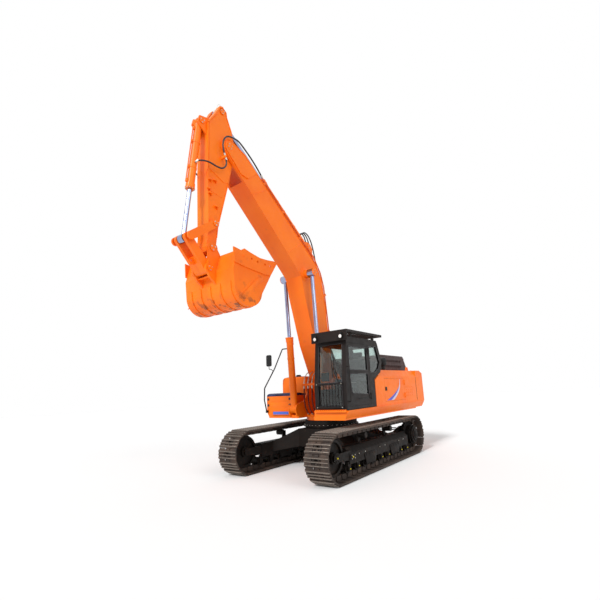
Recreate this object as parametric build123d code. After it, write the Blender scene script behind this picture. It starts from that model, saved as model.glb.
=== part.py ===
from build123d import *
from math import atan2, cos, degrees, hypot, pi, radians, sin
import os

# Crawler excavator of the 36 tonne class with a backhoe front, in millimetres
# +X is forward, +Y is left, +Z is up; the origin is the swing axis's foot on the ground

# clearances
seat = 0.3
pin_play = 0.3
side_play = 5.0
door_gap = 5.0
cab_gap = 15.0

# tracks
link_pitch = 216.0
links_on_straight = 19
links_on_end = 6
track_gauge = 2590.0
shoe_width = 600.0
shoe_tip_rise = 107.5
grouser_height = 28.0
grouser_pitch = 72.0
grouser_base = 34.0
shoe_gap = 8.0
plate_thickness = 22.0
rail_width = 45.0
rail_offset = 72.0
rail_depth = 45.0

# wheels inside the tracks
wheel_flange = 22.0
roller_flange = 18.0
flange_width = 22.0
tread_play = 4.0
roller_count = 9
roller_radius = 85.0
roller_first_x = 1560.0
roller_last_x = -1530.0
bracket_half = 55.0
carrier_radius = 70.0
carrier_x = (620.0, -760.0)
carrier_arm = 45.0
axle_radius = 60.0
idler_hub_radius = 120.0
idler_dish = 55.0
sprocket_teeth = 23
sprocket_width = 70.0
hub_radius = 255.0
hub_neck_radius = 190.0
hub_cover = (215.0, 150.0)

# track frames and car body
beam_half_width = 180.0
beam_bottom = 372.0
beam_top = 650.0
beam_shoulder = 540.0
beam_front = 1560.0
beam_rear = -1600.0
lip_drop = 52.0
lip_thickness = 18.0
yoke_thickness = 45.0
seat_plate_thickness = 60.0
drum_radius = 700.0
drum_flange = 40.0
body_bottom = 500.0
body_height = 510.0
body_half_length = 780.0
leg_root_y = 520.0

# slew ring and platform, each height measured from what is below
ring_radius = 700.0
ring_bore = 560.0
ring_height = 125.0
deck_clearance = 85.0
deck_plate = 80.0
side_box = 130.0
deck_half_width = 1500.0
skirt_inset = 100.0
skirt_lift = 30.0
ledge = 10.0
deck_rear = -2640.0
cab_deck_front = 1530.0
centre_front = 1000.0
right_deck_front = 950.0
notch_rear = 640.0
lane_outer = 560.0

# boom foot and frame cheeks
foot_x = 150.0
foot_rise = 570.0
boom_half_width = 250.0
foot_half_width = 315.0
cheek_gap = 5.0
cheek_thickness = 40.0
foot_pin_radius = 55.0
pin_end = 30.0
lift_base_x = 1000.0
lift_base_rise = 20.0
lift_lane = 455.0
lift_eye_half = 90.0
lift_pin_radius = 50.0
lift_ear_thickness = 35.0

# boom
boom_length = 6486.0
boom_angle = 55.2
boom_boss_radius = 210.0
tip_slot_half = 200.0
tip_slot_start = 5700.0
lift_pin_u = 3000.0
lift_pin_v = 800.0
lift_boss_radius = 115.0
stick_base_u = 3550.0
stick_base_v = 1620.0
tip_pin_radius = 50.0
bracket_thickness = 35.0
rim_thickness = 14.0
rim_overhang = 10.0
fork_plate = 25.0
pipe_radius = 17.0
pipe_lanes = (180.0, 226.0)
pipe_bend = 260.0
clamp_half = 30.0
clamp_cover = 25.0

# arm
arm_length = 2550.0
arm_angle = -80.65
arm_half_width = 165.0
arm_boss_half = 195.0
arm_boss_radius = 170.0
arm_top_p = -826.0
arm_top_q = 278.0
arm_slot_start = -500.0
curl_base_p = -238.0
curl_base_q = 700.0
link_pivot_p = 2025.0
link_pivot_q = 52.0
rod_lane_half = 70.0
side_plate = 12.0
cap_overhang = 28.0

# bucket linkage
knuckle_x = 4800.0
knuckle_z = 4910.0
ear_inner = 176.0
ear_thickness = 50.0
side_link_inner = 232.0
side_link_thickness = 40.0
side_link_radius = 85.0
link_pin_radius = 40.0
heavy_pin_radius = 48.0
curl_pin_radius = 45.0
pin_head = 15.0
lever_dx = 60.0
lever_dz = -443.0

# bucket
bucket_width = 1500.0
bucket_wall = 30.0
cutter_thickness = 25.0
cutter_hole_radius = 24.0
wear_thickness = 16.0
wear_width = 110.0
wear_lanes = (-600.0, -300.0, 0.0, 300.0, 600.0)
wear_top = -760.0
tooth_count = 5
tooth_width = 95.0
tooth_inset = 80.0

# cylinders: barrel and rod radii, retracted lengths
lift_barrel_radius = 90.0
lift_rod_radius = 50.0
lift_barrel_length = 1870.0
lift_eye_radius = 105.0
stick_barrel_radius = 95.0
stick_rod_radius = 55.0
stick_barrel_length = 2160.0
stick_eye_radius = 105.0
curl_barrel_radius = 80.0
curl_rod_radius = 45.0
curl_barrel_length = 1660.0
curl_eye_radius = 95.0
rod_overlap = 230.0
gland_length = 120.0
gland_rise = 12.0

# cab
cab_width = 880.0
cab_front = 1520.0
cab_rear_foot = 120.0
cab_mount_gap = 10.0
cab_height = 1660.0
cab_wall = 60.0
sill_height = 540.0
door_rear_x = 390.0
door_front_x = 1400.0
door_sill = 70.0
door_head = 140.0
door_rail = 70.0
window_head = 160.0
door_thickness = 50.0
glass_thickness = 8.0
pillar = 50.0
mount_radius = 60.0
mount_inset = 150.0
seat_height = 580.0

# roof guard, visor and front bars
guard_rise = 90.0
guard_depth = 60.0
guard_bar = 90.0
guard_front = 1545.0
guard_rear = -260.0
guard_slats = 8
guard_posts = (1, 6)
guard_left_overhang = 110.0
guard_right_overhang = 10.0
visor_drop = 190.0
visor_thickness = 25.0
lamp_radius = 45.0
lamp_depth = 55.0
guard_rod_count = 9
guard_rod_radius = 9.0
guard_stand_off = 25.0

# door hinges: the pin stands off the panel's face
hinge_stand_off = 15.0
hinge_lift = 3.0
hinge_half = 45.0
hinge_radius = 12.0
hinge_pin_radius = 6.0
hinge_leaf_half = 37.0
lug_height = 25.0
hinge_offset = 10.0
leaf_reach = 70.0
lug_reach = 40.0
cab_hinge_margin = (190.0, 160.0)
side_hinge_margin = 120.0

# housings behind the cab
panel_inset = 20.0
housing_front_right = -1050.0
housing_height = 920.0
housing_crease = 180.0
housing_shoulder = 110.0
housing_wall = 30.0
lane_edge_inset = 20.0
left_door_rear = -1700.0
left_door_front = -420.0
right_door_rear = -2480.0
right_door_front = -1180.0
side_door_low = 90.0
side_door_high = 690.0
hood_height = 490.0
hood_front = -1320.0
hood_rear = -2960.0
hood_tail = -3200.0
hood_half_width = 980.0
hood_wall = 30.0
hood_lip = 45.0
hood_hinge_y = 600.0
hood_barrel_radius = 11.5
hood_lug_radius = 9.5
grille_rows = (110.0, 270.0)
grille_front = -1500.0
grille_length = 1250.0
grille_height = 90.0
grille_thickness = 12.0
grille_frame = 14.0
grille_blades = 12
engine_rear = -2300.0
engine_front = -1350.0
engine_right = -620.0
engine_left = 720.0
engine_height = 870.0

# counterweight, tanks and toolbox
tail_radius = 3600.0
tail_corner = 160.0
tail_slope_x = -2980.0
tail_slope_drop = 230.0
lift_lug_x = -2800.0
lift_lug_y = 1150.0
lift_lug_rise = 70.0
lug_thickness = 40.0
lug_hole_radius = 30.0
tank_height = 870.0
tank_front = 270.0
tank_split = -385.0
tank_gap = 10.0
tank_corner = 110.0
tank_edge = 40.0
toolbox_front = 940.0
toolbox_height = 360.0
toolbox_wall = 30.0
lid_thickness = 30.0
lid_crown = 42.0

# handrail and mirror
rail_radius = 17.0
rail_inset = 40.0
rail_bend = 60.0
rail_knee = (1070.0, 2020.0)
rail_elbow = (640.0, 2560.0)
mirror_x = 870.0
mirror_z = 2625.0
mirror_width = 180.0
mirror_height = 320.0
mirror_depth = 32.0
mirror_corner = 45.0

# worked out from the above
pitch_radius = links_on_end * link_pitch / pi
wheel_x = links_on_straight * link_pitch / 2
wheel_z = pitch_radius + shoe_tip_rise
rail_inner = pitch_radius - rail_depth
half_turn = pi / links_on_end / 2
track_y = track_gauge / 2
plate_outer_rise = shoe_tip_rise - grouser_height
plate_inner_rise = plate_outer_rise - plate_thickness
tread_half = rail_offset + rail_width / 2 + tread_play
inner_flange = rail_offset - rail_width / 2 - tread_play - 2
body_top = body_bottom + body_height
ring_top = body_top + ring_height
deck_bottom = ring_top + deck_clearance
deck_plate_top = deck_bottom + deck_plate
deck_top = deck_plate_top + side_box
panel_half_width = deck_half_width - panel_inset
cheek_inner = foot_half_width + cheek_gap
cheek_outer = cheek_inner + cheek_thickness
lift_eye_inner = lift_lane - lift_eye_half
lift_eye_outer = lift_lane + lift_eye_half
lift_ear_inner = lift_eye_outer + side_play
lift_ear_outer = lift_ear_inner + lift_ear_thickness
arm_slot_half = rod_lane_half + side_play
stick_lane = stick_barrel_radius + side_play
curl_lane = curl_barrel_radius + side_play
ear_outer = ear_inner + ear_thickness
side_link_outer = side_link_inner + side_link_thickness
cab_left = panel_half_width
cab_right = cab_left - cab_width
cab_middle = (cab_left + cab_right) / 2
cab_floor = deck_top + cab_mount_gap
cab_roof = cab_floor + cab_height
cab_sill = cab_floor + sill_height
door_bottom = cab_floor + door_sill
door_top = cab_roof - door_head
window_top = cab_roof - window_head
inner_left = cab_right - lane_edge_inset
housing_top = deck_top + housing_height
side_door_bottom = deck_top + side_door_low
side_door_top = deck_top + side_door_high
side_hinge_z = (side_door_bottom + side_hinge_margin, side_door_top - side_hinge_margin)
cab_hinge_z = (door_bottom + cab_hinge_margin[0], door_top - cab_hinge_margin[1])
hood_top = housing_top + hood_height
hood_hinge_x = hood_front + hinge_offset
hood_hinge_z = housing_top + hinge_radius
tank_top = deck_top + tank_height
toolbox_rear = tank_front + tank_gap
toolbox_top = deck_top + toolbox_height
rail_y = -panel_half_width + rail_inset


def block(low, high):
    """Box between two corners."""
    size = [abs(b - a) for a, b in zip(low, high)]
    middle = [(a + b) / 2 for a, b in zip(low, high)]
    return Pos(*middle) * Box(*size)


def post(x, y, z_low, z_high, radius):
    """Upright cylinder."""
    return Pos(x, y, (z_low + z_high) / 2) * Cylinder(radius, z_high - z_low)


def across(face, y_low, y_high):
    """Face drawn in x and z, made thick from y_low to y_high."""
    middle = Plane.XZ.offset(-(y_low + y_high) / 2) * face
    return extrude(middle, amount=(y_high - y_low) / 2, both=True)


def outline(points):
    return make_face(Polyline(*points, close=True))


def plate(points, y_low, y_high):
    """Polygon of (x, z) points, thick from y_low to y_high."""
    return across(outline(points), y_low, y_high)


def both_sides(points, y_low, y_high):
    """The same plate on the left and on the right."""
    return plate(points, y_low, y_high) + plate(points, -y_high, -y_low)


def bar(points, x_low, x_high):
    """Polygon of (y, z) points, long from x_low to x_high."""
    middle = Plane.YZ.offset((x_low + x_high) / 2) * outline(points)
    return extrude(middle, amount=(x_high - x_low) / 2, both=True)


def slab(points, z_low, z_high):
    """Polygon of (x, y) points, thick from z_low to z_high."""
    middle = Plane.XY.offset((z_low + z_high) / 2) * outline(points)
    return extrude(middle, amount=(z_high - z_low) / 2, both=True)


def inward(face, distance):
    """The face with its whole edge moved in by a distance."""
    return offset(face, amount=-distance, kind=Kind.INTERSECTION)


def cross_pin(point, radius, y_low, y_high):
    """Cylinder along Y through an (x, z) point."""
    centre = Pos(point[0], (y_low + y_high) / 2, point[1])
    return centre * Rot(90, 0, 0) * Cylinder(radius, y_high - y_low)


def mirrored_pin(point, radius, y_low, y_high):
    return cross_pin(point, radius, y_low, y_high) + cross_pin(point, radius, -y_high, -y_low)


def rod(start, end, radius, y=0.0):
    """Round bar between two (x, z) points in the plane at y."""
    direction = Vector(end[0] - start[0], 0, end[1] - start[1])
    base = Plane(origin=(start[0], y, start[1]), z_dir=direction)
    return base * Cylinder(radius, direction.length, align=(Align.CENTER, Align.CENTER, Align.MIN))


def along(start, end, distance):
    """Point at a distance from start towards end."""
    share = distance / hypot(end[0] - start[0], end[1] - start[1])
    return (start[0] + (end[0] - start[0]) * share, start[1] + (end[1] - start[1]) * share)


def placed(origin, angle, first, second):
    """Point from an origin along an axis at an angle and square to it."""
    turn = radians(angle)
    x = origin[0] + first * cos(turn) - second * sin(turn)
    z = origin[1] + first * sin(turn) + second * cos(turn)
    return (x, z)


def angle_to(start, end):
    return degrees(atan2(end[1] - start[1], end[0] - start[0]))


def on_line(start, end, distance, off):
    """Point at a distance from start towards end and off to its left."""
    return placed(start, angle_to(start, end), distance, off)


foot = (foot_x, deck_top + foot_rise)


def on_boom(u, v):
    return placed(foot, boom_angle, u, v)


boom_tip = on_boom(boom_length, 0)


def on_arm(p, q):
    return placed(boom_tip, arm_angle, p, q)


lift_base = (lift_base_x, deck_top + lift_base_rise)
lift_pin = on_boom(lift_pin_u, lift_pin_v)
stick_base = on_boom(stick_base_u, stick_base_v)
stick_pin = on_arm(arm_top_p, arm_top_q)
curl_base = on_arm(curl_base_p, curl_base_q)
bucket_pin = on_arm(arm_length, 0)
link_pivot = on_arm(link_pivot_p, link_pivot_q)
knuckle = (knuckle_x, knuckle_z)
lever_pin = (bucket_pin[0] + lever_dx, bucket_pin[1] + lever_dz)


def on_bucket(dx, dz):
    return (bucket_pin[0] + dx, bucket_pin[1] + dz)


def round_bar(path_points, radius, bend):
    """Bent round bar along straight runs with equal bends."""
    path = FilletPolyline(*path_points, radius=bend)
    return sweep(path=path, sections=Plane(origin=path @ 0, z_dir=path % 0) * Circle(radius))


# tracks and what runs in them
def link_loop(radius, y_low, y_high):
    """Loop of straight links whose flats touch the given radius about both wheel centres."""
    corner = radius / cos(half_turn)
    points = []
    for side in (1, -1):
        for link in range(links_on_end):
            turn = (2 * link + 1) * half_turn
            points.append((side * (wheel_x + corner * sin(turn)), wheel_z - side * corner * cos(turn)))
    return plate(points, y_low, y_high)


def chain_place(distance):
    """Point and heading of the chain's pitch line, from the rear end of the bottom run."""
    straight = links_on_straight * link_pitch
    arc = links_on_end * link_pitch
    distance = distance % (2 * (straight + arc))
    if distance < straight:
        return (distance - wheel_x, wheel_z - pitch_radius, 0.0)
    distance -= straight
    if distance < arc:
        turn = distance / pitch_radius
        return (wheel_x + pitch_radius * sin(turn), wheel_z - pitch_radius * cos(turn), turn)
    distance -= arc
    if distance < straight:
        return (wheel_x - distance, wheel_z + pitch_radius, pi)
    turn = (distance - straight) / pitch_radius
    return (-wheel_x - pitch_radius * sin(turn), wheel_z + pitch_radius * cos(turn), pi + turn)


def shoe_profile():
    """Outer profile of one triple grouser shoe: along the chain, out from the pitch line."""
    half = (link_pitch - shoe_gap) / 2
    points = [(-half, plate_outer_rise)]
    for centre in (-grouser_pitch, 0.0, grouser_pitch):
        points += [(centre - grouser_base / 2, plate_outer_rise), (centre, shoe_tip_rise),
                   (centre + grouser_base / 2, plate_outer_rise)]
    return points + [(half, plate_outer_rise)]


def make_track(y):
    """Closed loop of shoes on two rails of straight links."""
    valley = plate_inner_rise + plate_thickness / 2
    valley_on_end = (pitch_radius + valley) / cos(half_turn) - pitch_radius
    points = []
    for shoe in range(2 * (links_on_straight + links_on_end)):
        x, z, heading = chain_place(shoe * link_pitch)
        for along_chain, rise in shoe_profile():
            points.append((x + along_chain * cos(heading) + rise * sin(heading),
                           z + along_chain * sin(heading) - rise * cos(heading)))
        x, z, heading = chain_place((shoe + 0.5) * link_pitch)
        rise = valley if heading in (0.0, pi) else valley_on_end
        points.append((x + rise * sin(heading), z - rise * cos(heading)))
    track = plate(points, y - shoe_width / 2, y + shoe_width / 2)
    inside = pitch_radius + plate_inner_rise
    track -= link_loop(inside, y - shoe_width, y + shoe_width)
    for side in (-1, 1):
        centre = y + side * rail_offset
        rail = link_loop(inside + 1, centre - rail_width / 2, centre + rail_width / 2)
        track += rail - link_loop(rail_inner, centre - rail_width, centre + rail_width)
    return track


def turned(profile, x, y, z):
    """Solid of revolution about a Y axis from (radius, y) points."""
    spun = revolve(outline(profile), Axis.Y)
    return Pos(x, y, z) * spun


def mirrored_profile(half_profile):
    """Wheel profile from the (radius, y) points of its outer half."""
    return [(r, -w) for r, w in reversed(half_profile)] + half_profile


def make_idler(y):
    tread = rail_inner - seat
    # radius, distance from the wheel's middle
    half_profile = [(tread + wheel_flange, inner_flange - 8), (tread, inner_flange), (tread, tread_half),
                    (tread - idler_dish, tread_half), (tread - idler_dish, yoke_thickness),
                    (idler_hub_radius, yoke_thickness), (idler_hub_radius, tread_half + 20),
                    (axle_radius, tread_half + 20)]
    return turned(mirrored_profile(half_profile), wheel_x, y, wheel_z)


def make_final_drive(y):
    """Toothed sprocket and hub of the final drive, cover towards the outside."""
    out = 1 if y > 0 else -1
    tip = pitch_radius - 4
    root = rail_inner - 14
    step = 2 * pi / sprocket_teeth
    points = []
    # share of a tooth's step, radius
    for tooth in range(sprocket_teeth):
        for share, radius in ((-0.30, root), (-0.14, tip), (0.14, tip), (0.30, root)):
            turn = (tooth + share) * step
            points.append((-wheel_x + radius * cos(turn), wheel_z + radius * sin(turn)))
    drive = plate(points, y - sprocket_width / 2, y + sprocket_width / 2)
    # radius, inner end, outer end, measured outwards from the track's middle
    rings = ((hub_neck_radius, -210, -105), (hub_radius, -105, 150), (hub_cover[0], 150, 215),
             (hub_cover[1], 215, 245))
    for radius, inner, outer in rings:
        ends = sorted((y + out * inner, y + out * outer))
        drive += cross_pin((-wheel_x, wheel_z), radius, *ends)
    return drive


def make_bottom_rollers(y):
    """Rollers with outer flanges, each between two brackets under the frame."""
    rollers = []
    z = wheel_z - rail_inner + seat + roller_radius
    flange = roller_radius + roller_flange
    side = tread_half + flange_width
    half_profile = [(roller_radius, tread_half), (flange, tread_half), (flange, side), (0, side)]
    for number in range(roller_count):
        x = roller_first_x + (roller_last_x - roller_first_x) * number / (roller_count - 1)
        roller = turned(mirrored_profile(half_profile), x, y, z)
        for way in (-1, 1):
            inner = y + way * side
            outer = y + way * (beam_half_width - lip_thickness - 2)
            roller += block((x - bracket_half, inner, z - bracket_half + 5),
                            (x + bracket_half, outer, beam_bottom))
        rollers.append(roller)
    return Compound(children=rollers)


def make_top_rollers(y):
    rollers = []
    z = wheel_z + rail_inner - seat - carrier_radius
    way = -1 if y > 0 else 1
    for x in carrier_x:
        roller = cross_pin((x, z), carrier_radius, y - tread_half, y + tread_half)
        inner = y + way * tread_half
        roller += block((x - axle_radius, inner, beam_top), (x + axle_radius, inner + way * carrier_arm,
                                                             z + carrier_arm))
        rollers.append(roller)
    return Compound(children=rollers)


def make_track_frame(y):
    """Box beam with a sloped outer shoulder, lower lips, the idler's yoke and the final drive's seat."""
    out = 1 if y > 0 else -1
    inner = y - out * beam_half_width
    outer = y + out * beam_half_width
    section = [(inner, beam_bottom), (inner, beam_top), (y + out * 60, beam_top), (outer, beam_shoulder),
               (outer, beam_bottom)]
    beam = bar(section, beam_rear, beam_front)
    for way in (-1, 1):
        face = y + way * beam_half_width
        beam += block((beam_rear, face, beam_bottom - lip_drop),
                      (beam_front, face - way * lip_thickness, beam_bottom + 1))
        low, high = sorted((y + way * (tread_half + 24), y + way * (beam_half_width - 10)))
        yoke = [(beam_front - 100, beam_bottom + 28), (beam_front - 100, beam_top - 50),
                (wheel_x - 80, beam_top - 60),
                (wheel_x + 70, wheel_z + 60), (wheel_x + 70, wheel_z - 60), (wheel_x - 80, beam_bottom + 58)]
        beam += plate(yoke, low, high)
    beam += cross_pin((wheel_x, wheel_z), axle_radius - pin_play, y - beam_half_width + 10,
                      y + beam_half_width - 10)
    drive_z = wheel_z
    seat_plate = [(beam_rear + 160, beam_bottom), (beam_rear + 160, beam_top),
                  (-wheel_x + 200, drive_z + 240),
                  (-wheel_x - 120, drive_z + 240), (-wheel_x - 230, drive_z + 120),
                  (-wheel_x - 230, drive_z - 120),
                  (-wheel_x - 120, drive_z - 230), (-wheel_x + 200, drive_z - 230),
                  (beam_rear - 80, beam_bottom)]
    low, high = sorted((inner, inner + out * seat_plate_thickness))
    beam += plate(seat_plate, low, high)
    return beam - cross_pin((-wheel_x, drive_z), hub_neck_radius + seat, y - 400, y + 400)


def make_car_body():
    """Slew bearing drum on a centre box with four legs out to the track frames."""
    body = block((-body_half_length, -leg_root_y, body_bottom),
                 (body_half_length, leg_root_y, body_top - 70))
    body += post(0, 0, body_bottom, body_top, drum_radius)
    body += post(0, 0, body_top - drum_flange, body_top, drum_radius + drum_flange)
    tip_y = track_y - beam_half_width
    for side_x in (-1, 1):
        for side_y in (-1, 1):
            root = Plane.XZ.offset(-side_y * leg_root_y) * Pos(side_x * 450,
                                                               body_bottom + 220) * Rectangle(640, 440)
            tip = Plane.XZ.offset(-side_y * tip_y) * Pos(side_x * 900, body_bottom + 20) * Rectangle(520,
                                                                                                     240)
            body += loft([root, tip], ruled=True)
    return body


def make_slew_ring():
    return post(0, 0, body_top, ring_top, ring_radius) - post(0, 0, body_top, ring_top, ring_bore)


# revolving upper structure
def skirt_box(side, inner, x_front):
    """Deck side box with a ledge and a skirt that slopes in below it."""
    lower_y = side * (deck_half_width - skirt_inset)
    outer_y = side * deck_half_width
    section = [(side * inner, deck_plate_top - 1), (lower_y, deck_bottom + skirt_lift),
               (outer_y, deck_top - ledge),
               (outer_y, deck_top), (side * inner, deck_top)]
    return bar(section, deck_rear, x_front)


def make_platform():
    half = deck_half_width - skirt_inset
    deck_plan = [(deck_rear, -half), (right_deck_front, -half), (right_deck_front, -lane_outer),
                 (centre_front, -lane_outer), (centre_front, -cheek_inner), (notch_rear, -cheek_inner),
                 (notch_rear, cheek_inner), (centre_front, cheek_inner), (centre_front, lane_outer),
                 (cab_deck_front, lane_outer), (cab_deck_front, half), (deck_rear, half)]
    deck = slab(deck_plan, deck_bottom, deck_plate_top)
    deck += post(0, 0, ring_top + seat, deck_bottom + 1, ring_radius - 40)
    deck += skirt_box(1, inner_left, cab_deck_front)
    deck += skirt_box(-1, inner_left, right_deck_front)
    deck += block((deck_rear, -inner_left, deck_plate_top), (housing_front_right, inner_left, deck_top))
    cheek = [(housing_front_right, deck_plate_top), (housing_front_right, deck_top + 190),
             (foot[0] - 250, foot[1] + 90), (foot[0] - 120, foot[1] + 190), (foot[0] + 120, foot[1] + 190),
             (foot[0] + 260, foot[1] + 60), (foot[0] + 600, deck_top + 210),
             (lift_base[0] + 60, lift_base[1] + 110),
             (lift_base[0] + 120, lift_base[1]), (lift_base[0] + 60, deck_plate_top),
             (lift_base[0], deck_plate_top - 40),
             (notch_rear, deck_bottom + 20)]
    deck += both_sides(cheek, cheek_inner, cheek_outer)
    ear = [(lift_base[0] - 260, deck_plate_top - 20), (lift_base[0] - 110, lift_base[1] + 110),
           (lift_base[0] + 60, lift_base[1] + 110), (lift_base[0] + 120, lift_base[1]),
           (lift_base[0] + 60, deck_plate_top - 20), (lift_base[0] - 60, deck_bottom)]
    deck += both_sides(ear, lift_ear_inner, lift_ear_outer)
    deck += cross_pin(foot, foot_pin_radius, -cheek_outer - pin_end, cheek_outer + pin_end)
    return deck + mirrored_pin(lift_base, lift_pin_radius, cheek_inner, lift_ear_outer)


def tail_plan(inset):
    """Counterweight seen from above: a round back about the swing axis between two flat sides."""
    half = panel_half_width - inset
    reach = tail_radius - inset
    plan = Circle(reach) & Pos(deck_rear - reach / 2, 0) * Rectangle(reach, 2 * half)
    return fillet(plan.vertices().sort_by(Axis.X)[:2], tail_corner)


def make_counterweight():
    """Cast tail with a skirt sloped like the deck's and a sloped upper edge."""
    waist = deck_top - ledge
    lower = Plane.XY.offset(deck_bottom + skirt_lift) * tail_plan(skirt_inset - panel_inset)
    upper = Plane.XY.offset(waist) * tail_plan(0)
    weight = loft([lower, upper], ruled=True) + extrude(upper, amount=housing_top - waist)
    slope = [(tail_slope_x, housing_top + 1), (-tail_radius - 10, housing_top + 1),
             (-tail_radius - 10, housing_top - tail_slope_drop)]
    weight -= plate(slope, -deck_half_width, deck_half_width)
    lug_z = housing_top + lift_lug_rise
    lug = [(lift_lug_x - 90, housing_top), (lift_lug_x - 40, lug_z + 60), (lift_lug_x + 40, lug_z + 60),
           (lift_lug_x + 90, housing_top)]
    for y in (-lift_lug_y, lift_lug_y):
        weight += plate(lug, y - lug_thickness / 2, y + lug_thickness / 2)
        weight -= cross_pin((lift_lug_x, lug_z), lug_hole_radius, y - lug_thickness, y + lug_thickness)
    return weight


def hinge_leaf(x, face_y, z, reach):
    """Bored knuckle of one door hinge and its leaf, which reaches over the door's face."""
    out = 1 if face_y > 0 else -1
    pin_y = face_y + out * hinge_stand_off
    low, high = z - hinge_leaf_half, z + hinge_leaf_half
    leaf = block((x, face_y + out * hinge_lift, low), (x + reach, pin_y - out * 2, high))
    leaf += block((x + reach / 2, face_y, low), (x + reach, face_y + out * (hinge_lift + 1), high))
    leaf += post(x, pin_y, z - hinge_half, z + hinge_half, hinge_radius)
    return leaf - post(x, pin_y, z - hinge_half - 5, z + hinge_half + 5, hinge_pin_radius + pin_play)


def hinge_lugs(x, face_y, z, reach):
    """Two lugs on the frame's face and the pin between them."""
    out = 1 if face_y > 0 else -1
    pin_y = face_y + out * hinge_stand_off
    lugs = post(x, pin_y, z - hinge_half - lug_height, z + hinge_half + lug_height, hinge_pin_radius)
    for side in (-1, 1):
        inner = z + side * (hinge_half + seat)
        outer = z + side * (hinge_half + lug_height)
        lugs += post(x, pin_y, *sorted((inner, outer)), hinge_radius)
        lugs += block((x, face_y, inner), (x + reach, pin_y, outer))
    return lugs


# cab
def cab_outline():
    """Side outline of the cab, whose rear leans back over the housing."""
    return outline([(cab_rear_foot, cab_floor), (cab_front, cab_floor), (cab_front, cab_sill),
                    (cab_front - 120, cab_roof - 60), (cab_front - 200, cab_roof),
                    (cab_rear_foot - 240, cab_roof),
                    (cab_rear_foot - 300, cab_roof - 80), (cab_rear_foot - 490, cab_sill + 560),
                    (cab_rear_foot - 360, cab_sill + 300), (cab_rear_foot - 120, cab_sill + 200),
                    (cab_rear_foot, cab_sill + 130)])


# rear side window: distance behind the door's rear edge, height over the sill
rear_window = ((80, 280), (80, 960), (460, 960), (620, 560), (520, 390), (370, 310))
# right side window: distance behind the windscreen's foot, height over the sill
right_window = ((190, -80), (190, 960), (1590, 960), (1750, 560), (1650, 390), (1460, 300), (1280, 200),
                (1280, -80))


def window_points(table, x):
    """Window corners from a table, with the top row at the windows' head."""
    top = max(rise for back, rise in table)
    return [(x - back, window_top if rise == top else cab_sill + rise) for back, rise in table]


def windscreen_x(z):
    """Outer face of the windscreen's frame at a height."""
    share = (z - cab_sill) / (cab_roof - 60 - cab_sill)
    return cab_front - 120 * share


def rear_wall_x(z):
    """Outer face of the rear wall at a height over its corner."""
    low_z, high_z = cab_sill + 560, cab_roof - 80
    share = (z - low_z) / (high_z - low_z)
    return cab_rear_foot - 490 + 190 * share


front_low = (cab_floor + 90, cab_sill + 30)
front_high = cab_sill + 70
rear_low = cab_sill + 620
pane_right = cab_right + cab_wall + pillar
pane_left = cab_left - cab_wall - pillar


def make_cab_shell():
    form = cab_outline()
    shell = across(form, cab_right, cab_left)
    shell -= across(inward(form, cab_wall), cab_right + cab_wall, cab_left - cab_wall)
    shell -= block((door_rear_x, cab_left - cab_wall - 1, door_bottom),
                   (door_front_x, cab_left + 1, door_top))
    reach = cab_front - 320
    shell -= block((reach, pane_right, front_low[0]), (cab_front + 1, pane_left, front_low[1]))
    shell -= block((reach, pane_right, front_high), (cab_front + 1, pane_left, window_top))
    shell -= block((cab_rear_foot - 600, pane_right, rear_low), (cab_rear_foot, pane_left, window_top))
    shell -= plate(window_points(rear_window, door_rear_x), cab_left - cab_wall - 1, cab_left + 1)
    shell -= plate(window_points(right_window, cab_front), cab_right - 1, cab_right + cab_wall + 1)
    for x in (cab_rear_foot + mount_inset, cab_front - mount_inset):
        for y in (cab_right + mount_inset, cab_left - mount_inset):
            shell += post(x, y, deck_top + seat, cab_floor + 5, mount_radius)
    for z in cab_hinge_z:
        shell += hinge_lugs(door_rear_x - hinge_offset, cab_left, z, -lug_reach)
    return shell


def make_cab_glass():
    """Fixed panes, each in the middle of its wall."""
    left = cab_left - cab_wall / 2
    right = cab_right + cab_wall / 2
    middle = cab_wall / 2
    panes = [plate(window_points(rear_window, door_rear_x), left, left + glass_thickness),
             plate(window_points(right_window, cab_front), right, right + glass_thickness)]
    x = cab_front - middle
    panes.append(block((x, pane_right, front_low[0]), (x + glass_thickness, pane_left, front_low[1])))
    for wall_x, low, inwards in ((windscreen_x, front_high, -middle), (rear_wall_x, rear_low, middle)):
        foot_point = (wall_x(low) + inwards, low)
        head_point = (wall_x(window_top) + inwards, window_top)
        pane = [foot_point, head_point, (head_point[0] + glass_thickness, window_top),
                (foot_point[0] + glass_thickness, low)]
        panes.append(plate(pane, pane_right, pane_left))
    return Compound(children=panes)


def door_windows(y_low, y_high):
    """Upper window and the tapered lower one, cut or filled between two depths."""
    low_x = door_rear_x + door_gap + door_rail
    high_x = door_front_x - door_gap - door_rail
    upper = block((low_x, y_low, cab_sill + 350), (high_x, y_high, door_top - 80))
    lower = plate([(low_x, door_bottom + 240), (high_x - 60, door_bottom + 290), (high_x, cab_sill + 220),
                   (high_x - 30, cab_sill + 260), (low_x + 30, cab_sill + 270), (low_x, cab_sill + 230)],
                   y_low, y_high)
    return upper, lower


def make_door():
    inner = cab_left - door_thickness
    door = block((door_rear_x + door_gap, inner, door_bottom + door_gap),
                 (door_front_x - door_gap, cab_left, door_top - door_gap))
    for window in door_windows(inner - 1, cab_left + 1):
        door -= window
    for z in cab_hinge_z:
        door += hinge_leaf(door_rear_x - hinge_offset, cab_left, z, leaf_reach)
    return door


def make_door_glass():
    y = cab_left - door_thickness / 2
    return Compound(children=list(door_windows(y, y + glass_thickness)))


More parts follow.
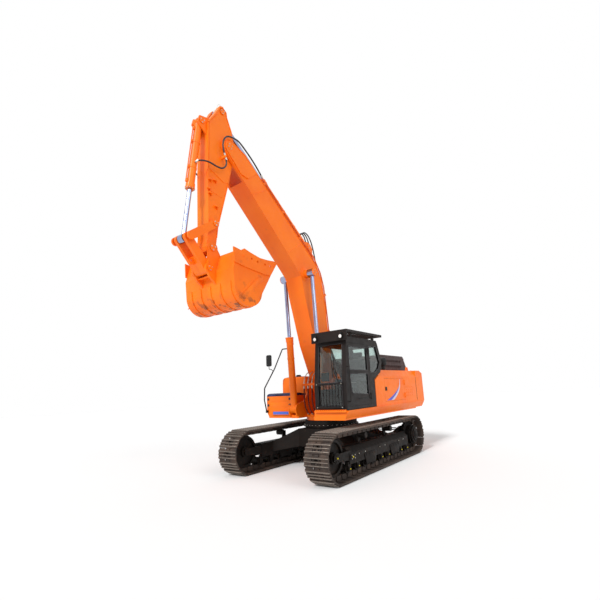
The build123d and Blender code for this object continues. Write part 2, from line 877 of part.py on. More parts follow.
def make_cab_guard():
    """Slatted roof guard on four posts, with the visor that hangs from its front."""
    low, high = cab_right - guard_right_overhang, cab_left + guard_left_overhang
    base = cab_roof + guard_rise
    top = base + guard_depth
    guard = block((guard_rear, low, base), (guard_front, high, top))
    guard -= block((guard_rear + guard_bar, low + guard_bar, base - 1),
                   (guard_front - guard_bar, high - guard_bar, top + 1))
    for step in range(1, guard_slats):
        x = guard_rear + (guard_front - guard_rear) * step / guard_slats
        guard += block((x - 15, low + 30, base + 15), (x + 15, high - 30, top - 15))
    for step in guard_posts:
        x = guard_rear + (guard_front - guard_rear) * step / guard_slats
        for y in (low + 60, cab_left - 60):
            guard += block((x - 30, y - 30, cab_roof), (x + 30, y + 30, base + 30))
    return guard + block((guard_front - visor_thickness, low, base - visor_drop),
                         (guard_front, high, base + 1))


def make_work_lamps():
    """Two lamps on the visor and one in the deck's front."""
    face = guard_front + seat
    lamps = []
    for y in (cab_right + 130, cab_left - 30):
        lamp = Pos(face + lamp_depth / 2, y, cab_roof - 10) * Rot(0, 90, 0) * Cylinder(lamp_radius,
                                                                                       lamp_depth)
        lamps.append(lamp)
    face = right_deck_front + seat
    lamps.append(block((face, -1240, deck_plate_top), (face + 25, -660, deck_plate_top + 100)))
    return Compound(children=lamps)


def make_front_guard():
    """Upright rods before the lower front window, between two rails."""
    x = cab_front + guard_stand_off
    low_z, high_z = door_bottom - 20, cab_sill + 60
    low_y, high_y = cab_right + 80, cab_left - 80
    guard = block((cab_front, low_y, low_z), (x + 24, high_y, low_z + 30))
    guard += block((cab_front, low_y, high_z - 30), (x + 24, high_y, high_z))
    for number in range(guard_rod_count):
        y = low_y + 30 + (high_y - low_y - 60) * number / (guard_rod_count - 1)
        guard += post(x + 12, y, low_z + 15, high_z - 15, guard_rod_radius)
    return guard


def make_seat():
    """Driver's seat: base, cushion, leaning back and head rest."""
    top = cab_floor + seat_height
    cushion = block((240, cab_middle - 250, top - 120), (760, cab_middle + 250, top))
    cushion = fillet(cushion.edges().filter_by(Axis.Y), 30)
    base = block((320, cab_middle - 180, cab_floor + cab_wall + seat),
                 (680, cab_middle + 180, top - 120))
    # half width, then the corners: x, height over the cushion's top
    pieces = ((240, ((240, -20), (360, -20), (250, 600), (120, 600))),
              (130, ((120, 620), (230, 620), (215, 790), (105, 790))),
              (60, ((150, 580), (190, 580), (180, 640), (140, 640))))
    chair = cushion + base
    for half, corners in pieces:
        chair += plate([(x, top + rise) for x, rise in corners], cab_middle - half, cab_middle + half)
    return chair


def make_controls():
    """Side consoles with levers, pedals and the screen."""
    floor = cab_floor + cab_wall
    shelf = cab_floor + seat_height + 60
    parts = []
    for side in (-1, 1):
        lever_y = cab_middle + side * 310
        console = block((370, lever_y - 40, floor), (770, lever_y + 40, shelf))
        console += post(725, lever_y, shelf - 10, shelf + 150, 12)
        console += post(725, lever_y, shelf + 130, shelf + 220, 24)
        pedal_y = cab_middle + side * 90
        pedal = block((1180, pedal_y - 45, floor), (1300, pedal_y + 45, floor + 50))
        pedal += post(1240, pedal_y, floor + 40, floor + 460, 12)
        parts += [console, pedal]
    wall = cab_right + cab_wall
    screen = block((1290, wall, shelf + 80), (1330, wall + 50, shelf + 120))
    screen += block((1290, wall + 20, shelf + 20), (1330, wall + 220, shelf + 220))
    return Compound(children=parts + [screen])


# housing, hood and what they cover
def left_housing_outline():
    """Left side of the housing, which reaches forward under the cab's leaning rear."""
    front = cab_rear_foot - cab_gap
    return outline([(deck_rear, deck_top), (front, deck_top), (front - 10, cab_sill + 105),
                    (front - 125, cab_sill + 170),
                    (front - 367, cab_sill + 272), (front - 505, housing_top), (deck_rear, housing_top)])


def housing_solid(inset, floor):
    """Engine housing's outer or inner shape, with both upper side edges sloped."""
    half = panel_half_width - inset
    top = housing_top - inset
    form = left_housing_outline()
    if inset:
        form = inward(form, inset)
    solid = across(form, inner_left + inset, half)
    solid += block((deck_rear + inset, -half, deck_top + inset), (housing_front_right - inset, half, top))
    if inset:
        solid += block((deck_rear + inset, -half, floor), (housing_front_right - inset, half,
                                                           deck_top + inset + 1))
        solid += block((deck_rear + inset, inner_left + inset, floor),
                       (cab_rear_foot - cab_gap - inset - 10, half, deck_top + inset + 1))
    crease = deck_top + housing_height - housing_crease - inset / 2
    for side in (-1, 1):
        edge = side * half
        shoulder = side * (half - housing_shoulder)
        wedge = [(edge, crease), (edge + side * 5, crease), (edge + side * 5, housing_top + 5),
                 (shoulder, housing_top + 5), (shoulder, top)]
        solid -= bar(wedge, deck_rear - 10, cab_rear_foot)
    return solid


def make_housing():
    shell = housing_solid(0, deck_top) - housing_solid(housing_wall, deck_top - 1)
    edge = hood_half_width - 60
    shell -= block((deck_rear + housing_wall, -edge, housing_top - housing_wall - 1),
                   (hood_front - 40, edge, housing_top + 1))
    for low, high, side in ((left_door_rear, left_door_front, 1), (right_door_rear, right_door_front, -1)):
        face = side * panel_half_width
        shell -= block((low, face - side * 2 * housing_wall, side_door_bottom),
                       (high, face + side, side_door_top))
        for z in side_hinge_z:
            shell += hinge_lugs(low - hinge_offset, face, z, -lug_reach)
    for y in (-hood_hinge_y, hood_hinge_y):
        for side in (-1, 1):
            low, high = sorted((y + side * (hinge_half + seat), y + side * (hinge_half + lug_height)))
            shell += cross_pin((hood_hinge_x, hood_hinge_z), hood_lug_radius, low, high)
            shell += block((hood_hinge_x, low, housing_top - 1),
                           (hood_hinge_x + lug_reach, high, hood_hinge_z))
        shell += cross_pin((hood_hinge_x, hood_hinge_z), hinge_pin_radius, y - hinge_half - 5,
                           y + hinge_half + 5)
    return shell


def side_door(x_low, x_high, side):
    """Flush panel door with two outside hinges at its rear edge."""
    face = side * panel_half_width
    inner = face - side * housing_wall
    door = block((x_low + door_gap, inner, side_door_bottom + door_gap),
                 (x_high - door_gap, face, side_door_top - door_gap))
    for z in side_hinge_z:
        door += hinge_leaf(x_low - hinge_offset, face, z, leaf_reach)
    return door


def make_hood():
    """Raised engine cover with a sloped tail, open below and hinged at its front."""
    base = housing_top + seat
    form = outline([(hood_tail, base), (hood_front, base), (hood_front, hood_top - 60),
                    (hood_front - 60, hood_top),
                    (hood_rear, hood_top), (hood_tail - 10, base + 110)])
    half = hood_half_width
    hood = across(form, -half, half) - across(inward(form, hood_wall), hood_wall - half, half - hood_wall)
    hood -= block((hood_tail + hood_wall, hood_wall - half, housing_top - 1),
                  (hood_front - hood_wall, half - hood_wall, base + hood_lip))
    for y in (-hood_hinge_y, hood_hinge_y):
        hood += cross_pin((hood_hinge_x, hood_hinge_z), hood_barrel_radius, y - hinge_half, y + hinge_half)
        hood -= cross_pin((hood_hinge_x, hood_hinge_z), hinge_pin_radius + pin_play, y - hinge_half - 5,
                          y + hinge_half + 5)
    return hood


def make_hood_grilles():
    """Framed rows of slanted blades on both sides of the hood."""
    grilles = []
    rear = grille_front - grille_length
    for side in (-1, 1):
        face = side * (hood_half_width + seat)
        outer = face + side * grille_thickness
        for row in grille_rows:
            low, high = housing_top + row, housing_top + row + grille_height
            grille = block((rear, face, low), (grille_front, outer, high))
            grille -= block((rear + grille_frame, face - side, low + grille_frame),
                            (grille_front - grille_frame, outer + side, high - grille_frame))
            for blade in range(grille_blades):
                x = rear + grille_length * (blade + 0.5) / grille_blades
                grille += slab([(x - 22, face), (x - 12, face), (x + 22, outer), (x + 12, outer)], low + 5,
                               high - 5)
            grilles.append(grille)
    return Compound(children=grilles)


def make_engine():
    return block((engine_rear, engine_right, deck_top), (engine_front, engine_left,
                                                         deck_top + engine_height))


def tank(x_low, x_high):
    """Tank with a round outer shoulder."""
    body = block((x_low, -panel_half_width, deck_top), (x_high, -cab_right, tank_top))
    shoulder = body.edges().filter_by(Axis.X).group_by(Axis.Z)[-1].sort_by(Axis.Y)[0]
    body = fillet(shoulder, tank_corner)
    return fillet(body.edges().filter_by(Axis.Z), tank_edge)


def make_toolbox():
    box = block((toolbox_rear, -panel_half_width, deck_top), (toolbox_front, -cab_right, toolbox_top))
    return box - block((toolbox_rear + toolbox_wall, toolbox_wall - panel_half_width,
                        deck_top + toolbox_wall),
                       (toolbox_front - toolbox_wall, -cab_right - toolbox_wall, toolbox_top + 1))


def make_toolbox_lid():
    """Lid with a low crown and a sloped front edge."""
    base = toolbox_top + seat
    rear, front = toolbox_rear + 2, toolbox_front - 2
    crown = base + lid_thickness + lid_crown
    section = [(rear, base), (front, base), (front, base + 22), (front - 34, base + 55), (front - 80, crown),
               (rear + 320, crown), (rear, base + lid_thickness)]
    return plate(section, -panel_half_width, -cab_right)


def make_handrail():
    """Bent rail at the right front corner, from the toolbox to the tank's top."""
    path = ((right_deck_front + 50, deck_top - 40), (1085, 1700), rail_knee, rail_elbow, (270, 3150),
            (tank_front - 400, 3200), (tank_front - 410, tank_top + seat))
    rail = round_bar([(x, rail_y, z) for x, z in path], rail_radius, rail_bend)
    return rail + block((right_deck_front + seat, rail_y - 25, deck_top - 70),
                        (right_deck_front + 65, rail_y + 25, deck_top - 10))


def make_mirror():
    """Rounded mirror on a bent stalk from the handrail."""
    x, z = mirror_x, mirror_z
    root = on_line(rail_knee, rail_elbow, 594, -rail_radius - seat)
    bend = on_line(rail_knee, rail_elbow, 594, -95)
    route = (root, bend, (x, bend[1]), (x, z + 20))
    stalk = round_bar([(a, rail_y, b) for a, b in route], 9, 25)
    head = block((x - mirror_depth / 2, rail_y - mirror_width / 2, z),
                 (x + mirror_depth / 2, rail_y + mirror_width / 2, z + mirror_height))
    return stalk + fillet(head.edges().filter_by(Axis.X), mirror_corner)


# boom: corners along the boom from its foot and square to it
boom_belly = ((-150, -130), (0, -190), (350, -190), (1300, -20), (2600, 395), (3050, 580), (3350, 520),
              (6250, -150),
              (6486, -190), (6640, -100), (6660, 80), (6560, 190))
boom_back = ((6250, 420), (3400, 1325), (3050, 1430), (2600, 1400), (1900, 1080), (900, 480), (150, 200),
             (-60, 190))
fork_outline = ((5770, 555), (5723, 140), (5870, -30), (6486, -150), (6590, -70), (6610, 80), (6510, 180),
                (5960, 470))


def boom_back_v(u):
    """Height of the boom's back over its foot line."""
    for (high_u, high_v), (low_u, low_v) in zip(boom_back, boom_back[1:]):
        if low_u <= u <= high_u:
            return low_v + (high_v - low_v) * (u - low_u) / (high_u - low_u)
    return boom_back[0][1]


def make_boom():
    """Bent box boom with overhanging flanges, a wide foot, a forked tip and the cylinder brackets."""
    form = outline([on_boom(u, v) for u, v in boom_belly + boom_back + ((-190, 60),)])
    rim = boom_half_width + rim_overhang
    boom = across(form, -boom_half_width, boom_half_width)
    boom += across(form - inward(form, rim_thickness), -rim, rim)
    boom += both_sides([on_boom(u, v) for u, v in fork_outline], boom_half_width - 1,
                       boom_half_width + fork_plate)
    slot = [(tip_slot_start, -600), (7000, -600), (7000, 1000), (tip_slot_start, 1000)]
    boom -= plate([on_boom(u, v) for u, v in slot], -tip_slot_half, tip_slot_half)
    boom += cross_pin(foot, boom_boss_radius, -foot_half_width, foot_half_width)
    boom -= cross_pin(foot, foot_pin_radius + pin_play, -foot_half_width - 5, foot_half_width + 5)
    boss = lift_eye_inner - side_play
    boom += cross_pin(lift_pin, lift_boss_radius, -boss, boss)
    pin = boom_half_width + fork_plate + 3
    boom += cross_pin(boom_tip, tip_pin_radius, -pin, pin)
    # bracket corners from the arm cylinder's base pin, along the boom and square to it
    bracket = ((-500, -240), (-130, 120), (10, 120), (130, 20), (300, -470))
    corners = [on_boom(stick_base_u + u, stick_base_v + v) for u, v in bracket]
    boom += both_sides(corners, stick_lane, stick_lane + bracket_thickness)
    pin = stick_lane + bracket_thickness + 10
    return boom + cross_pin(stick_base, heavy_pin_radius, -pin, pin)


# boom pipes: along the boom, height over its back
pipe_route = ((5640, 120), (3700, 115), (3250, 140), (2750, 110), (2350, 120), (1500, 110), (820, 105))
clamp_places = (5500, 4700, 3900, 2150, 1250)


def make_boom_pipes():
    """Two steel pipes on each side of the boom's back, held by clamp blocks."""
    groups = []
    for side in (-1, 1):
        group = None
        for lane in pipe_lanes:
            path = []
            for u, rise in pipe_route:
                x, z = on_boom(u, boom_back_v(u) + rise)
                path.append((x, side * lane, z))
            pipe = round_bar(path, pipe_radius, pipe_bend)
            group = pipe if group is None else group + pipe
        for u in clamp_places:
            foot_low = on_boom(u - clamp_half, boom_back_v(u - clamp_half) + seat)
            foot_high = on_boom(u + clamp_half, boom_back_v(u + clamp_half) + seat)
            head_v = boom_back_v(u) + 120 + clamp_cover
            clamp = [foot_low, foot_high, on_boom(u + clamp_half, head_v), on_boom(u - clamp_half, head_v)]
            low, high = sorted((side * (pipe_lanes[0] - clamp_cover),
                                side * (pipe_lanes[1] + clamp_cover - 4)))
            group += plate(clamp, low, high)
        groups.append(group)
    return Compound(children=groups)


def cylinder_barrel(base, end, length, radius, bore, eye_radius, eye_half, pin_radius, y=0.0):
    """Bored barrel with a gland ring at its open end and an eye at its base."""
    body = rod(along(base, end, eye_radius * 0.6), along(base, end, length), radius, y)
    body += rod(along(base, end, length - gland_length), along(base, end, length), radius + gland_rise, y)
    body += cross_pin(base, eye_radius, y - eye_half, y + eye_half)
    body -= cross_pin(base, pin_radius + pin_play, y - eye_half - 5, y + eye_half + 5)
    return body - rod(along(base, end, eye_radius + 40), along(base, end, length + 5), bore + pin_play, y)


def cylinder_rod(base, end, barrel_length, radius, eye_radius, eye_half, y=0.0):
    """Rod that reaches into its barrel by the overlap, with an eye at its free end."""
    reach = hypot(end[0] - base[0], end[1] - base[1]) - eye_radius * 0.6
    shaft = rod(along(base, end, barrel_length - rod_overlap), along(base, end, reach), radius, y)
    return shaft + cross_pin(end, eye_radius, y - eye_half, y + eye_half)


# arm: corners along the arm from the boom's tip and square to it
arm_front = ((2550, 120), (2350, 112), (2100, 150), (900, 385), (200, 500), (-300, 590), (-700, 440),
             (-900, 385))
arm_rear = ((-955, 290), (-900, 170), (-780, 130), (-500, -60), (-180, -170), (0, -200), (200, -205),
            (850, -187),
            (2020, -92), (2300, -110), (2550, -120), (2635, -85), (2670, 0), (2635, 85))
arm_doubler = ((-640, 400), (-300, 560), (200, 470), (800, 375), (900, -60), (840, -170), (200, -190),
               (0, -185),
               (-180, -155), (-480, -45))
arm_cap = ((-280, 597), (-700, 440), (-900, 385), (-955, 290), (-925, 285), (-880, 358), (-690, 410),
           (-290, 563))


def make_arm():
    """Box arm with flanges, a doubled upper side, an open top for the cylinder rod and the link pins."""
    form = outline([on_arm(p, q) for p, q in arm_front + arm_rear])
    rim = arm_half_width + side_plate
    arm = across(form, -arm_half_width, arm_half_width)
    ring = across(form - inward(form, rim_thickness), -rim, rim)
    arm += ring - plate([on_arm(p, q) for p, q in ((2250, -400), (3000, -400), (3000, 400), (2250, 400))],
                        -rim, rim)
    arm += both_sides([on_arm(p, q) for p, q in arm_doubler], arm_half_width - 1, rim)
    cap = arm_half_width + cap_overhang
    arm += plate([on_arm(p, q) for p, q in arm_cap], -cap, cap)
    slot = [(arm_slot_start, -400), (arm_slot_start, 800), (-1200, 800), (-1200, -400)]
    arm -= plate([on_arm(p, q) for p, q in slot], -arm_slot_half, arm_slot_half)
    arm += cross_pin(boom_tip, arm_boss_radius, -arm_boss_half, arm_boss_half)
    arm -= cross_pin(boom_tip, tip_pin_radius + pin_play, -arm_boss_half - 5, arm_boss_half + 5)
    boss = side_link_inner - side_play
    arm += cross_pin(link_pivot, arm_half_width - 70, -boss, boss)
    arm += cross_pin(link_pivot, link_pin_radius, -side_link_outer - pin_head, side_link_outer + pin_head)
    # bracket corners from the bucket cylinder's base pin, along the arm and square to it
    bracket = ((-222, -220), (-92, 80), (68, 90), (148, 0), (278, -220))
    corners = [on_arm(curl_base_p + p, curl_base_q + q) for p, q in bracket]
    arm += both_sides(corners, curl_lane, curl_lane + bracket_thickness)
    pin = curl_lane + bracket_thickness + 10
    arm += cross_pin(curl_base, curl_pin_radius, -pin, pin)
    arm += mirrored_pin(stick_pin, heavy_pin_radius, arm_slot_half, arm_half_width + pin_head)
    return arm + cross_pin(bucket_pin, curl_pin_radius, -ear_outer - pin_head, ear_outer + pin_head)


def link_plate(start, end, radius, y_low, y_high):
    """Flat link with round ends."""
    length = hypot(end[0] - start[0], end[1] - start[1])
    sides = [on_line(start, end, 0, radius), on_line(start, end, length, radius),
             on_line(start, end, length, -radius),
             on_line(start, end, 0, -radius)]
    return plate(sides, y_low, y_high) + cross_pin(start, radius, y_low, y_high) + cross_pin(end, radius,
                                                                                             y_low, y_high)


def make_side_links():
    links = []
    for low, high in ((side_link_inner, side_link_outer), (-side_link_outer, -side_link_inner)):
        link = link_plate(link_pivot, knuckle, side_link_radius, low, high)
        links.append(link - cross_pin(link_pivot, link_pin_radius + pin_play, low - 5, high + 5))
    return Compound(children=links)


def make_power_link():
    """H shaped link from the bucket's lever pin to the knuckle, with a lifting eye below."""
    half = ear_inner - side_play
    fork_inner = rod_lane_half + 30
    web = [(0, 95), (330, 80), (330, -80), (0, -95)]
    link = plate([on_line(lever_pin, knuckle, a, b) for a, b in web], -half, half)
    link += cross_pin(lever_pin, 95, -half, half)
    for low, high in ((fork_inner, half), (-half, -fork_inner)):
        link += link_plate(along(lever_pin, knuckle, 250), knuckle, 90, low, high)
    link -= cross_pin(lever_pin, link_pin_radius + pin_play, -half - 5, half + 5)
    hook = [(180, -70), (240, -190), (340, -190), (329, -70)]
    link += plate([on_line(lever_pin, knuckle, a, b) for a, b in hook], -lug_thickness / 2,
                  lug_thickness / 2)
    eye = on_line(lever_pin, knuckle, 300, -140)
    return link - cross_pin(eye, lug_hole_radius, -lug_thickness, lug_thickness)


# bucket: corners from its pin, to the front and up
bucket_lip = (-1240, -280)
bucket_heel = (-860, -910)
bucket_top = (-180, -130)
cutter_outline = ((-60, -95), (-256, -120), (-346, -60), (-506, -100), (-786, -150), (-1016, -140),
                  (-1266, -110),
                  (-1326, -140), (-1096, -470), (-926, -480), (-366, -440), (-80, -400))
cutter_holes = ((-546, -230), (-716, -250), (-936, -260), (-1106, -260))
ear_outline = ((90, 60), (-60, 95), (-190, -110), (-170, -200), (-110, -400), (-85, -520), (-115, -760),
               (60, -620),
               (165, -450), (120, -380))


def bucket_section(inset):
    """Side outline of the bucket's bowl, moved in by the inset."""
    lip = on_bucket(bucket_lip[0] + inset, bucket_lip[1])
    heel_low = on_bucket(bucket_heel[0] + inset, bucket_heel[1] + inset / 2)
    bottom = on_bucket(-400, inset - 1215)
    heel_high = on_bucket(-110 - inset, -880)
    back = on_bucket(-75 - inset, -520)
    top = on_bucket(bucket_top[0] - inset, bucket_top[1])
    edge = [Line(lip, heel_low), ThreePointArc(heel_low, bottom, heel_high), Line(heel_high, back),
            Line(back, top),
            Line(top, lip)]
    return make_face(edge)


def make_bucket():
    """Bowl with side cutters, heel strips, the two ears and the box between them."""
    half = bucket_width / 2
    bowl = across(bucket_section(0), -half, half)
    for y in wear_lanes:
        strip = across(bucket_section(-wear_thickness), y - wear_width / 2, y + wear_width / 2)
        reach = on_bucket(-1400, wear_top)
        bowl += strip & block((reach[0], -half, reach[1] - 800), (reach[0] + 1600, half, reach[1]))
    bowl -= across(bucket_section(bucket_wall), bucket_wall - half, half - bucket_wall)
    mouth = [(bucket_lip[0] + bucket_wall, bucket_lip[1] - 1),
             (bucket_top[0] - bucket_wall, bucket_top[1] - 1),
             (bucket_top[0] - bucket_wall, 0), (bucket_lip[0] + bucket_wall, 0)]
    bowl -= plate([on_bucket(x, z) for x, z in mouth], bucket_wall - half, half - bucket_wall)
    cutter = outline([on_bucket(x, z) for x, z in cutter_outline])
    for x, z in cutter_holes:
        centre = on_bucket(x, z)
        cutter -= Pos(*centre) * Circle(cutter_hole_radius)
    for low, high in ((half - 1, half + cutter_thickness), (-half - cutter_thickness, 1 - half)):
        bowl += across(cutter, low, high)
    ear = [on_bucket(x, z) for x, z in ear_outline]
    bowl += both_sides(ear, ear_inner, ear_outer)
    bowl += mirrored_pin(bucket_pin, 125, ear_inner, ear_outer) + mirrored_pin(lever_pin, 110, ear_inner,
                                                                               ear_outer)
    shelf = on_bucket(30, -575)
    bowl += block((shelf[0] - 120, -ear_inner - 1, shelf[1] - 25), (shelf[0], ear_inner + 1, shelf[1]))
    bowl -= mirrored_pin(bucket_pin, curl_pin_radius + pin_play, ear_inner - 5, ear_outer + 5)
    return bowl + cross_pin(lever_pin, link_pin_radius, -ear_outer - pin_head, ear_outer + pin_head)


def make_teeth():
    """Short worn teeth that straddle the bucket's lip."""
    teeth = []
    root = on_bucket(*bucket_lip)
    direction = angle_to(on_bucket(*bucket_heel), root)
    under = -bucket_wall - seat
    # from the lip along its plate, square to it
    profile = ((-130, seat), (-130, 26), (20, 32), (125, -4), (125, -20), (20, -62), (-130, -54),
               (-130, under),
               (3, under), (3, seat))
    corners = [placed(root, direction, a, b) for a, b in profile]
    for number in range(tooth_count):
        y = (bucket_width / 2 - tooth_inset) * (2 * number / (tooth_count - 1) - 1)
        teeth.append(plate(corners, y - tooth_width / 2, y + tooth_width / 2))
    return Compound(children=teeth)


nodes = {
    "car_body": make_car_body(),
    "slew_ring": make_slew_ring(),
    "platform": make_platform(),
    "counterweight": make_counterweight(),
    "cab_shell": make_cab_shell(),
    "cab_glass": make_cab_glass(),
    "cab_door": make_door(),
    "door_glass": make_door_glass(),
    "cab_guard": make_cab_guard(),
    "work_lamps": make_work_lamps(),
    "front_guard": make_front_guard(),
    "seat": make_seat(),
    "controls": make_controls(),
    "engine_housing": make_housing(),
    "side_door_left": side_door(left_door_rear, left_door_front, 1),
    "pump_door_right": side_door(right_door_rear, right_door_front, -1),
    "engine_hood": make_hood(),
    "hood_grilles": make_hood_grilles(),
    "engine": make_engine(),
    "fuel_tank": tank(tank_split + tank_gap / 2, tank_front),
    "hydraulic_tank": tank(housing_front_right + tank_gap, tank_split - tank_gap / 2),
    "toolbox": make_toolbox(),
    "toolbox_lid": make_toolbox_lid(),
    "handrail": make_handrail(),
    "mirror": make_mirror(),
    "boom": make_boom(),
    "boom_pipes": make_boom_pipes(),
    "arm": make_arm(),
    "side_links": make_side_links(),
    "power_link": make_power_link(),
    "bucket": make_bucket(),
    "bucket_teeth": make_teeth(),
}

for side_name, y in (("left", track_y), ("right", -track_y)):
    nodes["track_frame_" + side_name] = make_track_frame(y)
    nodes["track_" + side_name] = make_track(y)
    nodes["idler_" + side_name] = make_idler(y)
    nodes["final_drive_" + side_name] = make_final_drive(y)
    nodes["bottom_rollers_" + side_name] = make_bottom_rollers(y)
    nodes["top_rollers_" + side_name] = make_top_rollers(y)

# hydraulic cylinders: barrel's bore, eye and pin, then the rod's eye
lift = (lift_base, lift_pin, lift_barrel_length)
lift_bore = (lift_barrel_radius, lift_rod_radius, lift_eye_radius, lift_eye_half, lift_pin_radius)
nodes["boom_cylinder_barrels"] = Compound(children=[cylinder_barrel(*lift, *lift_bore,
                                                                    y) for y in (lift_lane, -lift_lane)])
nodes["boom_cylinder_rods"] = Compound(children=[
    cylinder_rod(*lift, lift_rod_radius, lift_eye_radius, lift_eye_half, y) for y in (lift_lane,
                                                                                      -lift_lane)])
stick = (stick_base, stick_pin, stick_barrel_length)
nodes["arm_cylinder_barrel"] = cylinder_barrel(*stick, stick_barrel_radius, stick_rod_radius,
                                               stick_eye_radius,
                                               stick_barrel_radius, heavy_pin_radius)
nodes["arm_cylinder_rod"] = cylinder_rod(*stick, stick_rod_radius, stick_eye_radius, rod_lane_half)
curl = (curl_base, knuckle, curl_barrel_length)
nodes["bucket_cylinder_barrel"] = cylinder_barrel(*curl, curl_barrel_radius, curl_rod_radius,
                                                  curl_eye_radius,
                                                  curl_barrel_radius, curl_pin_radius)
nodes["bucket_cylinder_rod"] = cylinder_rod(*curl, curl_rod_radius, side_link_radius + 5, rod_lane_half)

os.makedirs("parts", exist_ok=True)
for name, solid in nodes.items():
    export_step(solid, "parts/" + name + ".step")
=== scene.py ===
import bpy, bmesh, math
from mathutils import Matrix, Vector


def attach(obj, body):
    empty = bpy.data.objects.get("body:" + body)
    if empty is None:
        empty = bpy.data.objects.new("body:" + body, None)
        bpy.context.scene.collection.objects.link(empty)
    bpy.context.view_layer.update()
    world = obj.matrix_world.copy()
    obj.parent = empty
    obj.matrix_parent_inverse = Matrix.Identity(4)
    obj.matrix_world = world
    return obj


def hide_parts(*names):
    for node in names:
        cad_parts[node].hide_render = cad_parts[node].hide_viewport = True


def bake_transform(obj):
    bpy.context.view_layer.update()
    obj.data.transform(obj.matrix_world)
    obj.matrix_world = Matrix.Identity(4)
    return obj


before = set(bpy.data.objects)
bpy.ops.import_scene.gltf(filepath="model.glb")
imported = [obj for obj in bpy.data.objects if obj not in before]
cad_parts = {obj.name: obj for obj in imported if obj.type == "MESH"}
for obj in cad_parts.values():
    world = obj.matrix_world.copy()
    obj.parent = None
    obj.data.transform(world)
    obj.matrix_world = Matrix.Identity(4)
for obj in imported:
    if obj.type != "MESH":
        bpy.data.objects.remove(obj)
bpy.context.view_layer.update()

print("frame loaded:", len(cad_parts), "nodes")

# the machine's main points, in metres, as in the part's source
place = {
    "foot": (0.15, 2.0), "boomAngle": 55.2, "boomLength": 6.486, "armAngle": -80.65, "armLength": 2.55,
    "knuckle": (4.8, 4.91), "liftBase": (1.0, 1.45), "liftLane": 0.455,
    "trackY": 1.295, "wheelX": 2.052, "wheelZ": 0.52, "rollerZ": 0.238,
    "pitch": 0.216, "linksStraight": 19, "linksEnd": 6, "pitchRadius": 0.41253,
    "sideY": 1.48, "cabRight": 0.6, "cabLeft": 1.48, "hoodTop": 2.84,
}
sides = (("Left", 1), ("Right", -1))


def turnedFrom(origin, angle, first, second):
    turn = math.radians(angle)
    return (origin[0] + first * math.cos(turn) - second * math.sin(turn),
            origin[1] + first * math.sin(turn) + second * math.cos(turn))


def onBoom(u, v):
    return turnedFrom(place["foot"], place["boomAngle"], u, v)


boomTip = onBoom(place["boomLength"], 0)


def onArm(p, q):
    return turnedFrom(boomTip, place["armAngle"], p, q)


bucketPin = onArm(place["armLength"], 0)
linkPivot = onArm(2.025, 0.052)
leverPin = (bucketPin[0] + 0.06, bucketPin[1] - 0.443)
curlBase = onArm(-0.238, 0.7)
stickPin = onArm(-0.826, 0.278)
stickBase = onBoom(3.55, 1.62)
liftPin = onBoom(3.0, 0.8)


def at(point, y):
    return (point[0], y, point[1])


# materials
def linearColor(hexText):
    parts = [int(hexText[i:i + 2], 16) / 255 for i in (1, 3, 5)]
    return tuple(c / 12.92 if c <= 0.04045 else ((c + 0.055) / 1.055) ** 2.4 for c in parts) + (1.0,)


def addNode(tree, kind, inputs=None, give=0, **settings):
    # an input takes a value, another node's output, or a list of outputs; the output named by give comes back
    node = tree.nodes.new(kind)
    for name, value in settings.items():
        setattr(node, name, value)
    for socket, value in (inputs or {}).items():
        for source in value if isinstance(value, list) else [value]:
            if isinstance(source, bpy.types.NodeSocket):
                tree.links.new(source, node.inputs[socket])
            else:
                node.inputs[socket].default_value = source
    return node if give is None else node.outputs[give]


def newMaterial(name):
    material = bpy.data.materials.new(name)
    material.use_nodes = True
    tree = material.node_tree
    tree.nodes.clear()
    return material, tree, addNode(tree, "ShaderNodeTexCoord", give="Object")


def shaded(material, inputs):
    shader = addNode(material.node_tree, "ShaderNodeBsdfPrincipled", inputs)
    addNode(material.node_tree, "ShaderNodeOutputMaterial", {"Surface": shader}, None)
    return material


smoothly = {"interpolation_type": "SMOOTHSTEP"}
asColor = {"data_type": "RGBA"}
paintGrain = {"clouds": (1.1, 3.0), "stains": (5.5, 6.0), "sheen": (9.0, 3.0), "peel": (140.0, 1.0)}  # scale, detail
# heights, colour, noise grain and share of the darker brown patches towards the bucket's bottom
bucketHeelPatches = {"low": 3.60, "high": 3.98, "color": "#5A3B28", "grain": (7.0, 8.0), "share": 0.75}


